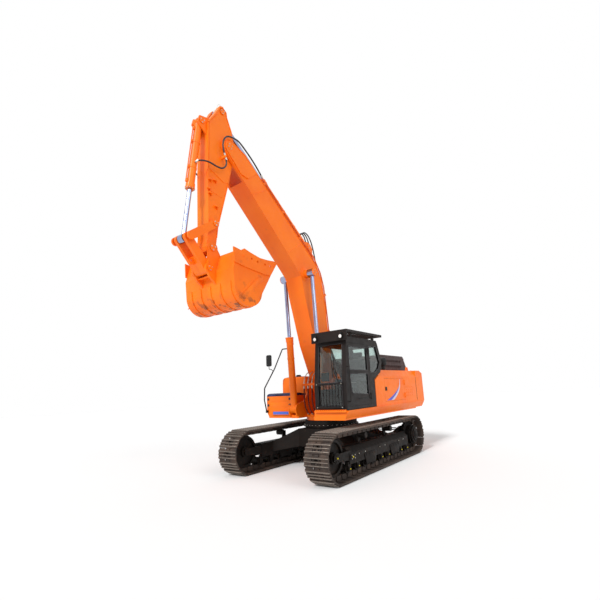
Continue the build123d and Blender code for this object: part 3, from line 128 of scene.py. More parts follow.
def paintOnSteel(name, base, deep, dust, grime, grimeFrom, rough, coat, shine=0.3):
    # colour in faint clouds, dust stains over it, and an even orange peel
    material, tree, coords = newMaterial(name)
    grain = {key: addNode(tree, "ShaderNodeTexNoise", {"Vector": coords, "Scale": scale, "Detail": detail})
             for key, (scale, detail) in paintGrain.items()}
    clouds = addNode(tree, "ShaderNodeMapRange", {0: grain["clouds"], 1: 0.35, 2: 0.68}, **smoothly)
    color = addNode(tree, "ShaderNodeMix", {0: clouds, 6: linearColor(base), 7: linearColor(deep)}, 2, **asColor)
    stains = addNode(tree, "ShaderNodeMapRange", {0: grain["stains"], 1: grimeFrom, 2: grimeFrom + 0.16, 4: grime},
                     **smoothly)
    color = addNode(tree, "ShaderNodeMix", {0: stains, 6: color, 7: linearColor(dust)}, 2, **asColor)
    if name == "bucketEnamel":
        # darker brown patches towards the bottom of the bucket, set by height and noise
        height = addNode(tree, "ShaderNodeSeparateXYZ", {0: coords}, 2)
        low = addNode(tree, "ShaderNodeMapRange",
                      {0: height, 1: bucketHeelPatches["low"], 2: bucketHeelPatches["high"], 3: 1.0, 4: 0.0}, **smoothly)
        scale, detail = bucketHeelPatches["grain"]
        patches = addNode(tree, "ShaderNodeTexNoise", {"Vector": coords, "Scale": scale, "Detail": detail})
        patches = addNode(tree, "ShaderNodeMapRange", {0: patches, 1: 0.50, 2: 0.62, 4: bucketHeelPatches["share"]}, **smoothly)
        marks = addNode(tree, "ShaderNodeMath", {0: low, 1: patches}, operation="MULTIPLY")
        color = addNode(tree, "ShaderNodeMix", {0: marks, 6: color, 7: linearColor(bucketHeelPatches["color"])}, 2, **asColor)
    return shaded(material, {
        "Base Color": color,
        "Roughness": addNode(tree, "ShaderNodeMapRange",
                             {0: grain["sheen"], 1: 0.3, 2: 0.7, 3: rough - 0.05, 4: rough + 0.08}, **smoothly),
        "Specular IOR Level": shine, "Coat Weight": coat, "Coat Roughness": 0.15,
        "Normal": addNode(tree, "ShaderNodeBump", {"Height": grain["peel"], "Distance": 0.0004, "Strength": 0.25}),
    })


# each row: main, deeper and dust colour, dust's share, its start in the noise, roughness, coat, specular level
paints = {
    # two-coat machine enamel, sprayed: even orange with a soft gloss
    "orangeEnamel": ("#FB7806", "#F56C04", "#B85A22", 0.25, 0.62, 0.44, 0.06),
    # the same enamel on the bucket, with darker brown patches towards its heel
    "bucketEnamel": ("#FB7806", "#F06803", "#A8521F", 0.35, 0.58, 0.48, 0.04),
    # black chassis enamel, sprayed: dull, with brown dust lying on it
    "blackChassis": ("#0F0B09", "#17100C", "#3A2C22", 0.45, 0.54, 0.60, 0.0, 0.2),
    # black satin cab paint
    "blackCab": ("#120C0A", "#1A110D", "#33251D", 0.25, 0.58, 0.50, 0.0, 0.25),
    # dark brown hood paint over moulded plastic
    "brownHood": ("#331D1B", "#3D2421", "#54392E", 0.30, 0.56, 0.50, 0.04),
    # navy anti-slip paint on tread plate
    "navyDeck": ("#2A3157", "#222A4C", "#4C4A55", 0.40, 0.52, 0.60, 0.0),
    # grey cast iron of the engine
    "greyCasting": ("#55524C", "#474540", "#6B6253", 0.40, 0.50, 0.70, 0.0),
    # black moulded plastic of consoles and mirror, fine grain
    "blackPlastic": ("#0E0E0E", "#141414", "#262422", 0.15, 0.60, 0.55, 0.0),
    # orange enamel on steel pipes and their clamps
    "orangeTube": ("#F06A08", "#E35C05", "#9C4A1C", 0.30, 0.58, 0.44, 0.06),
    # decal films: blue and silver vinyl, smooth
    "blueFilm": ("#3A3FC0", "#3438B4", "#5A5CA8", 0.12, 0.62, 0.30, 0.40),
    "silverFilm": ("#C9CBE4", "#BFC2DC", "#A5A2AE", 0.12, 0.62, 0.30, 0.40),
    # yellow polyethylene caps over the grease points
    "yellowCap": ("#E8D21A", "#D9C414", "#8A7A2A", 0.30, 0.56, 0.50, 0.0),
    # red-brown spiral guard wound round the hoses before the boom's foot
    "brownGuard": ("#5B2A1E", "#4A2018", "#7A4A38", 0.35, 0.50, 0.60, 0.0),
    # red moulded lens of the tail lamps
    "redLens": ("#B01812", "#9A120D", "#6A2A22", 0.15, 0.62, 0.18, 0.60),
}
finish = {name: paintOnSteel(name, *row) for name, row in paints.items()}


def makeTrackSteel():
    # manganese steel, cast and rolled: brown with rust and dried soil, worn bright on the bars' tips
    material, tree, coords = newMaterial("wornTrackSteel")
    split = addNode(tree, "ShaderNodeSeparateXYZ", {0: coords}, None).outputs
    past = addNode(tree, "ShaderNodeMath", {0: split[0]}, operation="ABSOLUTE")
    past = addNode(tree, "ShaderNodeMath", {0: past, 1: place["wheelX"]}, operation="SUBTRACT")
    past = addNode(tree, "ShaderNodeMath", {0: past, 1: 0.0}, operation="MAXIMUM")
    rise = addNode(tree, "ShaderNodeMath", {0: split[2], 1: place["wheelZ"]}, operation="SUBTRACT")
    flat = addNode(tree, "ShaderNodeCombineXYZ", {0: past, 1: rise})
    reach = addNode(tree, "ShaderNodeVectorMath", {0: flat}, "Value", operation="LENGTH")
    rough, soil = [addNode(tree, "ShaderNodeTexNoise", {"Vector": coords, "Scale": scale, "Detail": detail})
                   for scale, detail in ((34.0, 5.0), (4.0, 6.0))]
    tips = addNode(tree, "ShaderNodeMapRange", {0: reach, 1: 0.503, 2: 0.517}, **smoothly)
    patches = addNode(tree, "ShaderNodeMapRange", {0: rough, 1: 0.25, 2: 0.6, 3: 0.35, 4: 1.0}, **smoothly)
    wear = addNode(tree, "ShaderNodeMath", {0: tips, 1: patches}, operation="MULTIPLY")
    soil = addNode(tree, "ShaderNodeMapRange", {0: soil, 1: 0.38, 2: 0.66}, **smoothly)
    rust = addNode(tree, "ShaderNodeMapRange", {0: rough, 1: 0.55, 2: 0.75, 4: 0.6}, **smoothly)
    color = linearColor("#352C27")
    for share, over in ((soil, "#4C3E35"), (rust, "#5E3D2A"), (wear, "#80766D")):
        color = addNode(tree, "ShaderNodeMix", {0: share, 6: color, 7: linearColor(over)}, 2, **asColor)
    return shaded(material, {
        "Base Color": color,
        "Roughness": addNode(tree, "ShaderNodeMapRange", {0: wear, 3: 0.75, 4: 0.50}, **smoothly),
        "Metallic": addNode(tree, "ShaderNodeMapRange", {0: wear, 3: 0.10, 4: 0.60}, **smoothly),
        "Normal": addNode(tree, "ShaderNodeBump", {"Height": rough, "Distance": 0.003, "Strength": 0.5}),
    })


def makeMetal(name, base, deep, smoothest, roughest):
    material, tree, coords = newMaterial(name)
    film, marks = [addNode(tree, "ShaderNodeTexNoise", {"Vector": coords, "Scale": scale, "Detail": detail})
                   for scale, detail in ((3.0, 3.0), (90.0, 2.0))]
    film = addNode(tree, "ShaderNodeMapRange", {0: film, 1: 0.3, 2: 0.7}, **smoothly)
    color = {0: film, 6: linearColor(base), 7: linearColor(deep)}
    rough = {0: marks, 1: 0.3, 2: 0.7, 3: smoothest, 4: roughest}
    return shaded(material, {
        "Base Color": addNode(tree, "ShaderNodeMix", color, 2, **asColor), "Metallic": 1.0,
        "Roughness": addNode(tree, "ShaderNodeMapRange", rough, **smoothly),
    })


# each row: main and deeper colour, lowest and highest roughness
metals = {
    # hard chromed rod, ground: cool mirror with faint turning marks
    "chrome": ("#A6AEC9", "#8F98BA", 0.14, 0.26),
    # zinc plated bolts, ferrules and thin lines: pale, half dull
    "zincSteel": ("#C9C6BE", "#B5AFA2", 0.34, 0.50),
    # mirror glass, silvered at its back
    "mirrorGlass": ("#DDE3E6", "#D2D9DD", 0.02, 0.05),
}
for name, row in metals.items():
    finish[name] = makeMetal(name, *row)


def makeGlass():
    # laminated safety glass, faintly green, with a trace of dust
    material, tree, coords = newMaterial("tintedSafetyGlass")
    film = addNode(tree, "ShaderNodeTexNoise", {"Vector": coords, "Scale": 2.2, "Detail": 5.0})
    film = addNode(tree, "ShaderNodeMapRange", {0: film, 1: 0.45, 2: 0.8}, **smoothly)
    color = {0: film, 6: linearColor("#D5E4E0"), 7: linearColor("#BFD0CC")}
    return shaded(material, {
        "Base Color": addNode(tree, "ShaderNodeMix", color, 2, **asColor),
        "Roughness": addNode(tree, "ShaderNodeMapRange", {0: film, 3: 0.02, 4: 0.09}, **smoothly),
        "Transmission Weight": 1.0, "IOR": 1.45,
    })


def makeRubber():
    # nitrile hose cover, wrapped: matt black with a fine cross weave
    material, tree, coords = newMaterial("blackHoseRubber")
    weave = addNode(tree, "ShaderNodeTexWave", {"Vector": coords, "Scale": 60.0}, "Fac", bands_direction="DIAGONAL")
    dust = addNode(tree, "ShaderNodeTexNoise", {"Vector": coords, "Scale": 14.0, "Detail": 3.0})
    dust = addNode(tree, "ShaderNodeMapRange", {0: dust, 1: 0.4, 2: 0.7}, **smoothly)
    color = {0: dust, 6: linearColor("#1B1A1B"), 7: linearColor("#37343A")}
    return shaded(material, {
        "Base Color": addNode(tree, "ShaderNodeMix", color, 2, **asColor), "Roughness": 0.55,
        "Normal": addNode(tree, "ShaderNodeBump", {"Height": weave, "Distance": 0.001, "Strength": 0.3}),
    })


def makeSeatCloth():
    # woven seat cloth, 2 mm rib drawn at 6 mm so that it shows
    material, tree, coords = newMaterial("ribbedSeatCloth")
    rib = addNode(tree, "ShaderNodeTexWave", {"Vector": coords, "Scale": 52.0}, "Fac", bands_direction="Y")
    share = addNode(tree, "ShaderNodeMapRange", {0: rib, 1: 0.2, 2: 0.8}, **smoothly)
    color = {0: share, 6: linearColor("#22252B"), 7: linearColor("#3A4049")}
    return shaded(material, {
        "Base Color": addNode(tree, "ShaderNodeMix", color, 2, **asColor), "Roughness": 0.9, "Sheen Weight": 0.3,
        "Normal": addNode(tree, "ShaderNodeBump", {"Height": rib, "Distance": 0.002, "Strength": 0.4}),
    })


def makeLens(name, tint, rib):
    # moulded polycarbonate lens over a bright reflector, fluted
    material, tree, coords = newMaterial(name)
    flute = addNode(tree, "ShaderNodeTexWave", {"Vector": coords, "Scale": 26.0}, "Fac", bands_direction="Y")
    color = {0: flute, 6: linearColor(tint), 7: linearColor(rib)}
    return shaded(material, {
        "Base Color": addNode(tree, "ShaderNodeMix", color, 2, **asColor), "Roughness": 0.12, "Coat Weight": 0.2,
        "Normal": addNode(tree, "ShaderNodeBump", {"Height": flute, "Distance": 0.001, "Strength": 0.3}),
    })


finish["trackSteel"] = makeTrackSteel()
finish["glass"] = makeGlass()
finish["rubber"] = makeRubber()
finish["seatCloth"] = makeSeatCloth()
finish["clearLens"] = makeLens("clearLampLens", "#D8D4D0", "#F4F1EE")
finish["blueLens"] = makeLens("blueLampLens", "#1B3DB0", "#5C83E8")
print("materials made:", len(finish))

nodeKinds = {
    "blackChassis": "car_body slew_ring", "blackCab": "cab_shell cab_guard front_guard cab_door",
    "glass": "cab_glass door_glass", "seatCloth": "seat", "blackPlastic": "controls handrail mirror work_lamps",
    "greyCasting": "engine", "brownHood": "engine_hood hood_grilles", "navyDeck": "toolbox_lid",
    "orangeTube": "boom_pipes", "chrome": "boom_cylinder_rods arm_cylinder_rod bucket_cylinder_rod",
    "bucketEnamel": "bucket bucket_teeth",
}
finishOf = {node: kind for kind, names in nodeKinds.items() for node in names.split()}


def painted(piece, kind):
    piece.data.materials.clear()
    piece.data.materials.append(finish[kind])


for name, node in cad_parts.items():
    kind = finishOf.get(name, "orangeEnamel")
    if name.startswith(("track_frame", "idler", "final_drive", "bottom_rollers", "top_rollers")):
        kind = "blackChassis"
    elif name.startswith("track_"):
        kind = "trackSteel"
    painted(node, kind)


# how pieces are put together
def settle(piece, kind, body):
    painted(piece, kind)
    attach(piece, body)
    return piece


def plainMesh(source, name):
    depsgraph = bpy.context.evaluated_depsgraph_get()
    depsgraph.update()
    mesh = bpy.data.meshes.new_from_object(source.evaluated_get(depsgraph))
    data = source.data
    bpy.data.objects.remove(source)
    if data.users == 0 and isinstance(data, bpy.types.Curve):
        bpy.data.curves.remove(data)
    piece = bpy.data.objects.new(name, mesh)
    bpy.context.scene.collection.objects.link(piece)
    return piece


def softened(piece, degrees=32):
    for face in piece.data.polygons:
        face.use_smooth = True
    piece.data.set_sharp_from_angle(angle=math.radians(degrees))


def fromBmesh(name, shape, bevel=0.0, segments=2, smooth=True):
    bmesh.ops.recalc_face_normals(shape, faces=shape.faces)
    mesh = bpy.data.meshes.new(name + "Shape")
    shape.to_mesh(mesh)
    shape.free()
    piece = bpy.data.objects.new(name, mesh)
    bpy.context.scene.collection.objects.link(piece)
    if bevel:
        edge = piece.modifiers.new("edge", "BEVEL")
        edge.width, edge.segments, edge.limit_method, edge.angle_limit = bevel, segments, "ANGLE", math.radians(35)
        piece = plainMesh(piece, name)
    if smooth:
        softened(piece)
    return piece


def loopAt(axis, value, low, high):
    # rectangle's four corners in the plane where one axis has the value
    corners = ((low[0], low[1]), (high[0], low[1]), (high[0], high[1]), (low[0], high[1]))
    return [(*corner[:axis], value, *corner[axis:]) for corner in corners]


def addCorners(shape, near, far):
    # solid between two matching rings of corners
    near, far = [shape.verts.new(p) for p in near], [shape.verts.new(p) for p in far]
    shape.faces.new(near[::-1])
    shape.faces.new(far)
    for i in range(len(near)):
        j = (i + 1) % len(near)
        shape.faces.new((near[i], near[j], far[j], far[i]))


def addBox(shape, low, high):
    addCorners(shape, loopAt(2, low[2], low, high), loopAt(2, high[2], low, high))


def addPrism(shape, outline, yNear, yFar):
    addCorners(shape, [(x, yNear, z) for x, z in outline], [(x, yFar, z) for x, z in outline])


def addTurned(shape, profile, centre, axis, count=32):
    # profile holds (radius, distance along the axis); one that returns to its start makes an open ring
    hollow = profile[0] == profile[-1]
    aim = Vector(axis).normalized().to_track_quat("Z", "Y").to_matrix()
    rings = []
    for radius, rise in profile[:-1] if hollow else profile:
        turns = [2 * math.pi * i / count for i in range(count)]
        rings.append([shape.verts.new(aim @ Vector((radius * math.cos(turn), radius * math.sin(turn), rise))
                                      + Vector(centre)) for turn in turns])
    for first, second in zip(rings, rings[1:] + rings[:1] if hollow else rings[1:]):
        for i in range(count):
            j = (i + 1) % count
            shape.faces.new((first[i], first[j], second[j], second[i]))
    if not hollow:
        shape.faces.new(rings[0][::-1])
        shape.faces.new(rings[-1])


def addBar(shape, start, end, width, height, up=(0, 0, 1)):
    # square bar between two points, its height along up
    start, end = Vector(start), Vector(end)
    run = (end - start).normalized()
    side = run.cross(Vector(up)).normalized() * (width / 2)
    rise = side.cross(run).normalized() * (height / 2)
    ring = [a * side + b * rise for a, b in ((-1, -1), (1, -1), (1, 1), (-1, 1))]
    addCorners(shape, [start + corner for corner in ring], [end + corner for corner in ring])


def addFrame(shape, corners, width, height, up):
    # bars round a closed loop, lapped at the corners
    for i in range(len(corners)):
        start, end = Vector(corners[i]), Vector(corners[(i + 1) % len(corners)])
        lap = (end - start).normalized() * (width / 2)
        addBar(shape, start - lap, end + lap, width, height, up)


def solidPiece(name, kind, body, parts, bevel=0.0, segments=2):
    # each part is one of the add functions above with its sizes
    shape = bmesh.new()
    for add, *sizes in parts:
        add(shape, *sizes)
    return settle(fromBmesh(name, shape, bevel, segments), kind, body)


def curveOf(name, points, radius, resolution=8):
    line = bpy.data.curves.new(name + "Line", "CURVE")
    line.dimensions = "3D"
    spline = line.splines.new("NURBS")
    spline.points.add(len(points) - 1)
    for target, point in zip(spline.points, points):
        target.co = (*point, 1.0)
    spline.order_u = 3
    spline.use_endpoint_u = True
    spline.resolution_u = resolution
    line.bevel_depth = radius
    line.bevel_resolution = 3
    line.use_fill_caps = radius > 0
    holder = bpy.data.objects.new(name + "Line", line)
    bpy.context.scene.collection.objects.link(holder)
    return holder


def tube(name, points, radius, kind, body, resolution=8):
    piece = plainMesh(curveOf(name, points, radius, resolution), name)
    softened(piece, 50)
    return settle(piece, kind, body)


ends = {}


def hose(name, route, radius, length, kind, body, crossing=None, ferrules=True):
    # a hose is a tube round its route's spline; crossing is (other body, start, end) where it spans a joint
    spine = plainMesh(curveOf(name + "Spine", route, 0.0, 12), name + "Spine")
    path = [tuple(v.co) for v in spine.data.vertices]
    bpy.data.objects.remove(spine)
    piece = plainMesh(curveOf(name, route, radius, 12), name)
    softened(piece, 50)
    if crossing:
        painted(piece, kind)
        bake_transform(piece)
    else:
        settle(piece, kind, body)
    measured = sum((Vector(a) - Vector(b)).length for a, b in zip(path, path[1:]))
    print("hose", name, round(measured, 3))
    if ferrules:
        far = crossing[0] if crossing else body
        ends.setdefault(body, []).append((route[0], Vector(route[1]) - Vector(route[0]), radius))
        ends.setdefault(far, []).append((route[-1], Vector(route[-2]) - Vector(route[-1]), radius))


# camera at the photograph's angle
cameraSpec = {"place": (8.986, 6.037, 1.92), "direction": (-0.7946, -0.5661, 0.2195), "roll": -2.84,
              "lens": 22.798, "sensor": 36.0, "shift": (-0.024, 0.00667), "clipEnd": 200.0}
direction = Vector(cameraSpec["direction"]).normalized()
right = direction.cross(Vector((0, 0, 1))).normalized()
up = right.cross(direction)
roll = math.radians(cameraSpec["roll"])
rightRolled = math.cos(roll) * right + math.sin(roll) * up
upRolled = -math.sin(roll) * right + math.cos(roll) * up
lens = bpy.data.cameras.new("photoCamera")
lens.lens, lens.sensor_width, lens.clip_end = cameraSpec["lens"], cameraSpec["sensor"], cameraSpec["clipEnd"]
lens.shift_x, lens.shift_y = cameraSpec["shift"]
camera = bpy.data.objects.new("photoCamera", lens)
bpy.context.scene.collection.objects.link(camera)
aim = Matrix((rightRolled, upRolled, -direction)).transposed().to_4x4()
camera.matrix_world = Matrix.Translation(cameraSpec["place"]) @ aim
bpy.context.scene.camera = camera

# hydraulic hoses: radius and length, lanes across the machine, and routes that run from each hose's exit
hoseSize = {"tip": (0.018, 1.94), "curl": (0.018, 0.99), "foot": (0.02, 1.67), "belly": (0.012, 0.43),
            "front": (0.017, 0.8), "knee": (0.017, 2.51), "travel": (0.014, (1.32, 1.34)), "grease": 0.0035}
hoseLanes = {"foot": (0.18, 0.226), "front": (-0.26, -0.13, 0.0, 0.13), "knee": (-0.09, 0.0, 0.09),
             "travel": (0.0, 0.05), "grease": ((0.09, 0.0, 0.10), (-0.09, 0.05, 0.07))}
hoseRoute = {
    # along the boom, off it and across
    "tipOnBoom": ((5.64, 0.734, 0.226), (5.85, 0.69, 0.235), (6.15, 0.57, 0.262), (6.42, 0.42, 0.29)),
    "footOnBoom": ((0.82, 0.555), (0.68, 0.56)),
    # x, y and z
    "tip": ((3.63, 0.302, 7.58), (3.80, 0.302, 7.57), (3.97, 0.302, 7.52), (4.075, 0.302, 7.36), (4.085, 0.302, 7.15),
            (4.01, 0.30, 6.98)),
    "curl": ((4.01, 0.30, 6.98), (3.975, 0.30, 6.90), (3.985, 0.30, 6.76), (4.09, 0.30, 6.645), (4.25, 0.298, 6.625),
             (4.40, 0.27, 6.665), (4.52, 0.20, 6.68), (4.605, 0.135, 6.66), (4.63, 0.098, 6.62)),
    "travel": ((-0.77, 0.30, 0.80), (-0.90, 0.30, 0.81), (-1.12, 0.40, 0.79), (-1.36, 0.62, 0.73), (-1.55, 0.85, 0.69),
               (-1.68, 0.99, 0.68), (-1.76, 1.09, 0.67)),
    # x and z
    "foot": ((-0.02, 2.75), (-0.14, 2.60), (-0.28, 2.42), (-0.41, 2.18), (-0.49, 1.94), (-0.535, 1.72), (-0.56, 1.52)),
    # x, way off the lane, z
    "belly": ((0.60, 0.03, 2.385), (0.67, 0.03, 2.37), (0.73, 0.02, 2.31), (0.775, 0, 2.22), (0.795, 0, 2.12),
              (0.801, 0, 2.045)),
    "front": ((0.801, 0, 2.03), (0.808, 0, 1.90), (0.815, 0, 1.76), (0.815, 0, 1.64), (0.81, 0.015, 1.53),
              (0.79, 0.03, 1.43), (0.745, 0.03, 1.35), (0.69, 0.03, 1.305), (0.655, 0.03, 1.29)),
    # x, share of the lane, z
    "knee": ((1.045, 0.55, 6.075), (1.035, 0.55, 6.155), (0.985, 0.55, 6.23), (0.895, 0.6, 6.27), (0.80, 0.7, 6.25),
             (0.72, 0.85, 6.165), (0.65, 1, 6.03), (0.57, 1, 5.82), (0.50, 1, 5.54), (0.435, 1, 5.20), (0.38, 1, 4.84),
             (0.35, 1, 4.52), (0.338, 1, 4.34), (0.335, 1, 4.18)),
    # along the arm, share of the arch's height, off the arm
    "grease": ((-0.90, 0, 0.38), (-0.97, 0.6, 0.385), (-1.00, 0.6, 0.30), (-0.98, 0.4, 0.22), (-0.925, 0, 0.20)),
}
for side, sign in sides:
    # from the boom's pipes over its tip, in an S down the arm's side to the bucket cylinder
    route = [at(onBoom(u, v), sign * y) for u, v, y in hoseRoute["tipOnBoom"]]
    route += [(x, sign * y, z) for x, y, z in hoseRoute["tip"]]
    hose("tipHose" + side, route, *hoseSize["tip"], "rubber", "boom",
         ("arm", (3.85, sign * 0.3, 7.52), (4.07, sign * 0.3, 7.15)))
    route = [(x, sign * y, z) for x, y, z in hoseRoute["curl"]]
    hose("curlHose" + side, route, *hoseSize["curl"], "rubber", "arm",
         ("bucket_cylinder_barrel", (4.40, sign * 0.27, 6.665), (4.62, sign * 0.11, 6.64)))
    # from the boom's pipes over its foot, down to the valve behind it
    for lane in hoseLanes["foot"]:
        inner = sign * (lane - 0.02)
        route = [at(onBoom(u, v), sign * lane) for u, v in hoseRoute["footOnBoom"]]
        route += [(x, inner, z) for x, z in hoseRoute["foot"]]
        hose("footHose" + side + str(int(lane * 1000)), route, *hoseSize["foot"], "rubber", "boom",
             ("upper", (0.02, inner, 2.80), (-0.42, inner, 2.15)))

for number, y in enumerate(hoseLanes["front"], 1):
    # steel pipe from the boom's belly to the bar, then a guarded hose down through the notch in the deck
    belly, front = [[(x, y + off, z) for x, off, z in hoseRoute[key]] for key in ("belly", "front")]
    hose("bellyPipe" + str(number), belly, *hoseSize["belly"], "zincSteel", "boom", None, False)
    hose("frontHose" + str(number), front, *hoseSize["front"], "brownGuard", "boom",
         ("upper", (0.80, y, 2.0), (0.80, y, 1.5)))
    ends["boom"].append(((0.80, y, 2.088), Vector((0, 0, 1)), hoseSize["belly"][0]))

for number, y in enumerate(hoseLanes["knee"], 1):
    # over the boom's knee to the arm cylinder
    route = [(x, y * share, z) for x, share, z in hoseRoute["knee"]]
    hose("kneeHose" + str(number), route, *hoseSize["knee"], "rubber", "arm_cylinder_barrel",
         ("boom", (0.93, y, 6.1), (0.56, y, 5.72)))

radius, lengths = hoseSize["travel"]
for side, sign in sides:
    # from the middle of the car body to the travel motors; the second hose starts higher and further in
    for number, lift in enumerate(hoseLanes["travel"]):
        route = [(x, sign * (y - lift if x > -1 else y), z + lift) for x, y, z in hoseRoute["travel"]]
        hose("travelHose" + side + str(number + 1), route, radius, lengths[number], "rubber", "undercarriage")

for number, (y, drop, height) in enumerate(hoseLanes["grease"], 1):
    # thin grease lines that arch over the arm's top
    route = [at(onArm(p - share * height, q - drop), y) for p, share, q in hoseRoute["grease"]]
    tube("greaseLine" + str(number), route, hoseSize["grease"], "zincSteel", "arm")
print("hoses made")


# Geometry Nodes: a tree takes points, stands on each what fill gives, and ends in one painted mesh
def pointTree(name, sizes, fill):
    tree = bpy.data.node_groups.new(name, "GeometryNodeTree")
    tree.interface.new_socket("Geometry", in_out="OUTPUT", socket_type="NodeSocketGeometry")
    for label, kind, value in (("Geometry", "Geometry", None), *sizes, ("Finish", "Material", None)):
        socket = tree.interface.new_socket(label, in_out="INPUT", socket_type="NodeSocket" + kind)
        if value is not None:
            socket.default_value = value
    source = addNode(tree, "NodeGroupInput", give=None).outputs
    spread = addNode(tree, "GeometryNodeInstanceOnPoints", {"Points": source["Geometry"], **fill(tree, source)})
    real = addNode(tree, "GeometryNodeRealizeInstances", {"Geometry": spread})
    dressed = addNode(tree, "GeometryNodeSetMaterial", {"Geometry": real, "Material": source["Finish"]})
    addNode(tree, "NodeGroupOutput", {"Geometry": dressed}, None)
    return tree


def boltHead(tree, source):
    # six-sided head on a round washer, along the point's own facing
    facing = addNode(tree, "GeometryNodeInputNamedAttribute", {"Name": "facing"}, data_type="FLOAT_VECTOR")
    turn = addNode(tree, "FunctionNodeAlignRotationToVector", {"Vector": facing}, axis="Z")
    head = addNode(tree, "GeometryNodeMeshCylinder",
                   {"Vertices": 6, "Radius": source["Head Radius"], "Depth": source["Head Height"]})
    wide = addNode(tree, "ShaderNodeMath", {0: source["Head Radius"], 1: 1.45}, operation="MULTIPLY")
    washer = addNode(tree, "GeometryNodeMeshCylinder", {"Vertices": 14, "Radius": wide, "Depth": 0.005})
    return {"Instance": addNode(tree, "GeometryNodeJoinGeometry", {0: [head, washer]}), "Rotation": turn}


def smallCopy(tree, source):
    # a given small piece, turned by the point's own angles
    unit = addNode(tree, "GeometryNodeObjectInfo", {"Object": source["Unit"]}, "Geometry")
    angles = addNode(tree, "GeometryNodeInputNamedAttribute", {"Name": "angles"}, data_type="FLOAT_VECTOR")
    turn = addNode(tree, "FunctionNodeEulerToRotation", {"Euler": angles})
    return {"Instance": unit, "Rotation": turn, "Scale": source["Size"]}


boltTree = pointTree("boltHeads", (("Head Radius", "Float", 0.014), ("Head Height", "Float", 0.01)), boltHead)
copyTree = pointTree("copiesOnPoints", (("Unit", "Object", None), ("Size", "Float", 1.0)), smallCopy)


def grown(name, tree, points, attribute, vectors, inputs, kind, body, smooth=False):
    mesh = bpy.data.meshes.new(name + "Points")
    mesh.from_pydata([tuple(p) for p in points], [], [])
    store = mesh.attributes.new(attribute, "FLOAT_VECTOR", "POINT")
    for i, vector in enumerate(vectors):
        store.data[i].vector = vector
    holder = bpy.data.objects.new(name + "Points", mesh)
    bpy.context.scene.collection.objects.link(holder)
    modifier = holder.modifiers.new("grow", "NODES")
    modifier.node_group = tree
    sockets = {item.name: item.identifier for item in tree.interface.items_tree
               if item.item_type == "SOCKET" and item.in_out == "INPUT"}
    for key, value in {**inputs, "Finish": finish[kind]}.items():
        modifier[sockets[key]] = value
    piece = plainMesh(holder, name)
    if smooth:
        softened(piece, 35)
    return settle(piece, kind, body)


def copies(name, unit, points, angles, kind, body):
    piece = grown(name, copyTree, points, "angles", angles, {"Unit": unit}, kind, body, True)
    bpy.data.objects.remove(unit)
    return piece


def bolts(name, points, facings, size, kind, body):
    head = {"Head Radius": size, "Head Height": size * 0.9}
    return grown(name, boltTree, points, "facing", facings, head, kind, body)


boltSets = {}


def addBolts(body, kind, size, points, facing):
    # bolts wait here until one piece is made for each body, finish and size
    boltSets.setdefault((body, kind, size), []).extend((point, facing) for point in points)


def boltRing(body, kind, size, centre, axis, radius, count, first=0.0):
    aim = Vector(axis).normalized().to_track_quat("Z", "Y").to_matrix()
    turns = [first + 2 * math.pi * i / count for i in range(count)]
    points = [aim @ Vector((radius * math.cos(turn), radius * math.sin(turn), 0)) + Vector(centre) for turn in turns]
    addBolts(body, kind, size, points, axis)


def studGrid(corner, step, count, stagger=(0.0, 0.0)):
    return [(corner[0] + step[0] * i + stagger[0] * (j % 2), corner[1] + step[1] * j + stagger[1] * (i % 2), corner[2])
            for i in range(count[0]) for j in range(count[1])]


def treadStuds(name, profile, count, points, kind, body):
    # anti-slip studs, one small turned piece copied over a tread plate
    stud = bmesh.new()
    addTurned(stud, profile, (0, 0, 0), (0, 0, 1), count)
    copies(name, fromBmesh(name + "Unit", stud), points, [(0, 0, 0)] * len(points), kind, body)


# tracks: shoes with three bars, a mud hole, four bolts and a lip, on two rows of links
shoe = {"length": 0.208, "width": 0.6, "outer": 0.0795, "inner": 0.0575, "tip": 0.1075, "barPitch": 0.072,
        "barBase": 0.03, "barTip": 0.014, "sink": 0.001, "corner": 0.03, "chamfer": 0.012, "holeHalf": 0.032,
        "boltY": (0.045, 0.1), "boltX": 0.036, "boltSize": 0.013, "boltLift": 0.004}
lip = {"y": ((-0.29, -0.10), (-0.045, 0.045), (0.10, 0.29)), "ends": ((-0.02, 0.002, 0.012), (0.036, -0.014, -0.003))}
link = {"past": 0.03, "lap": 0.01, "corner": 0.02, "low": -0.045, "high": 0.0565, "startHalf": 0.036, "endHalf": 0.034,
        "plates": ((0.052, 0.074), (0.07, 0.092))}


def chainPlace(distance):
    pitch, radius = place["pitch"], place["pitchRadius"]
    straight, arc = place["linksStraight"] * pitch, place["linksEnd"] * pitch
    if distance < straight:
        return distance - place["wheelX"], place["wheelZ"] - radius, 0.0
    distance -= straight
    if distance < arc:
        turn = distance / radius
        return place["wheelX"] + radius * math.sin(turn), place["wheelZ"] - radius * math.cos(turn), turn
    distance -= arc
    if distance < straight:
        return place["wheelX"] - distance, place["wheelZ"] + radius, math.pi
    turn = (distance - straight) / radius
    return -place["wheelX"] - radius * math.sin(turn), place["wheelZ"] + radius * math.cos(turn), math.pi + turn


chain = [chainPlace(number * place["pitch"]) for number in range(2 * (place["linksStraight"] + place["linksEnd"]))]


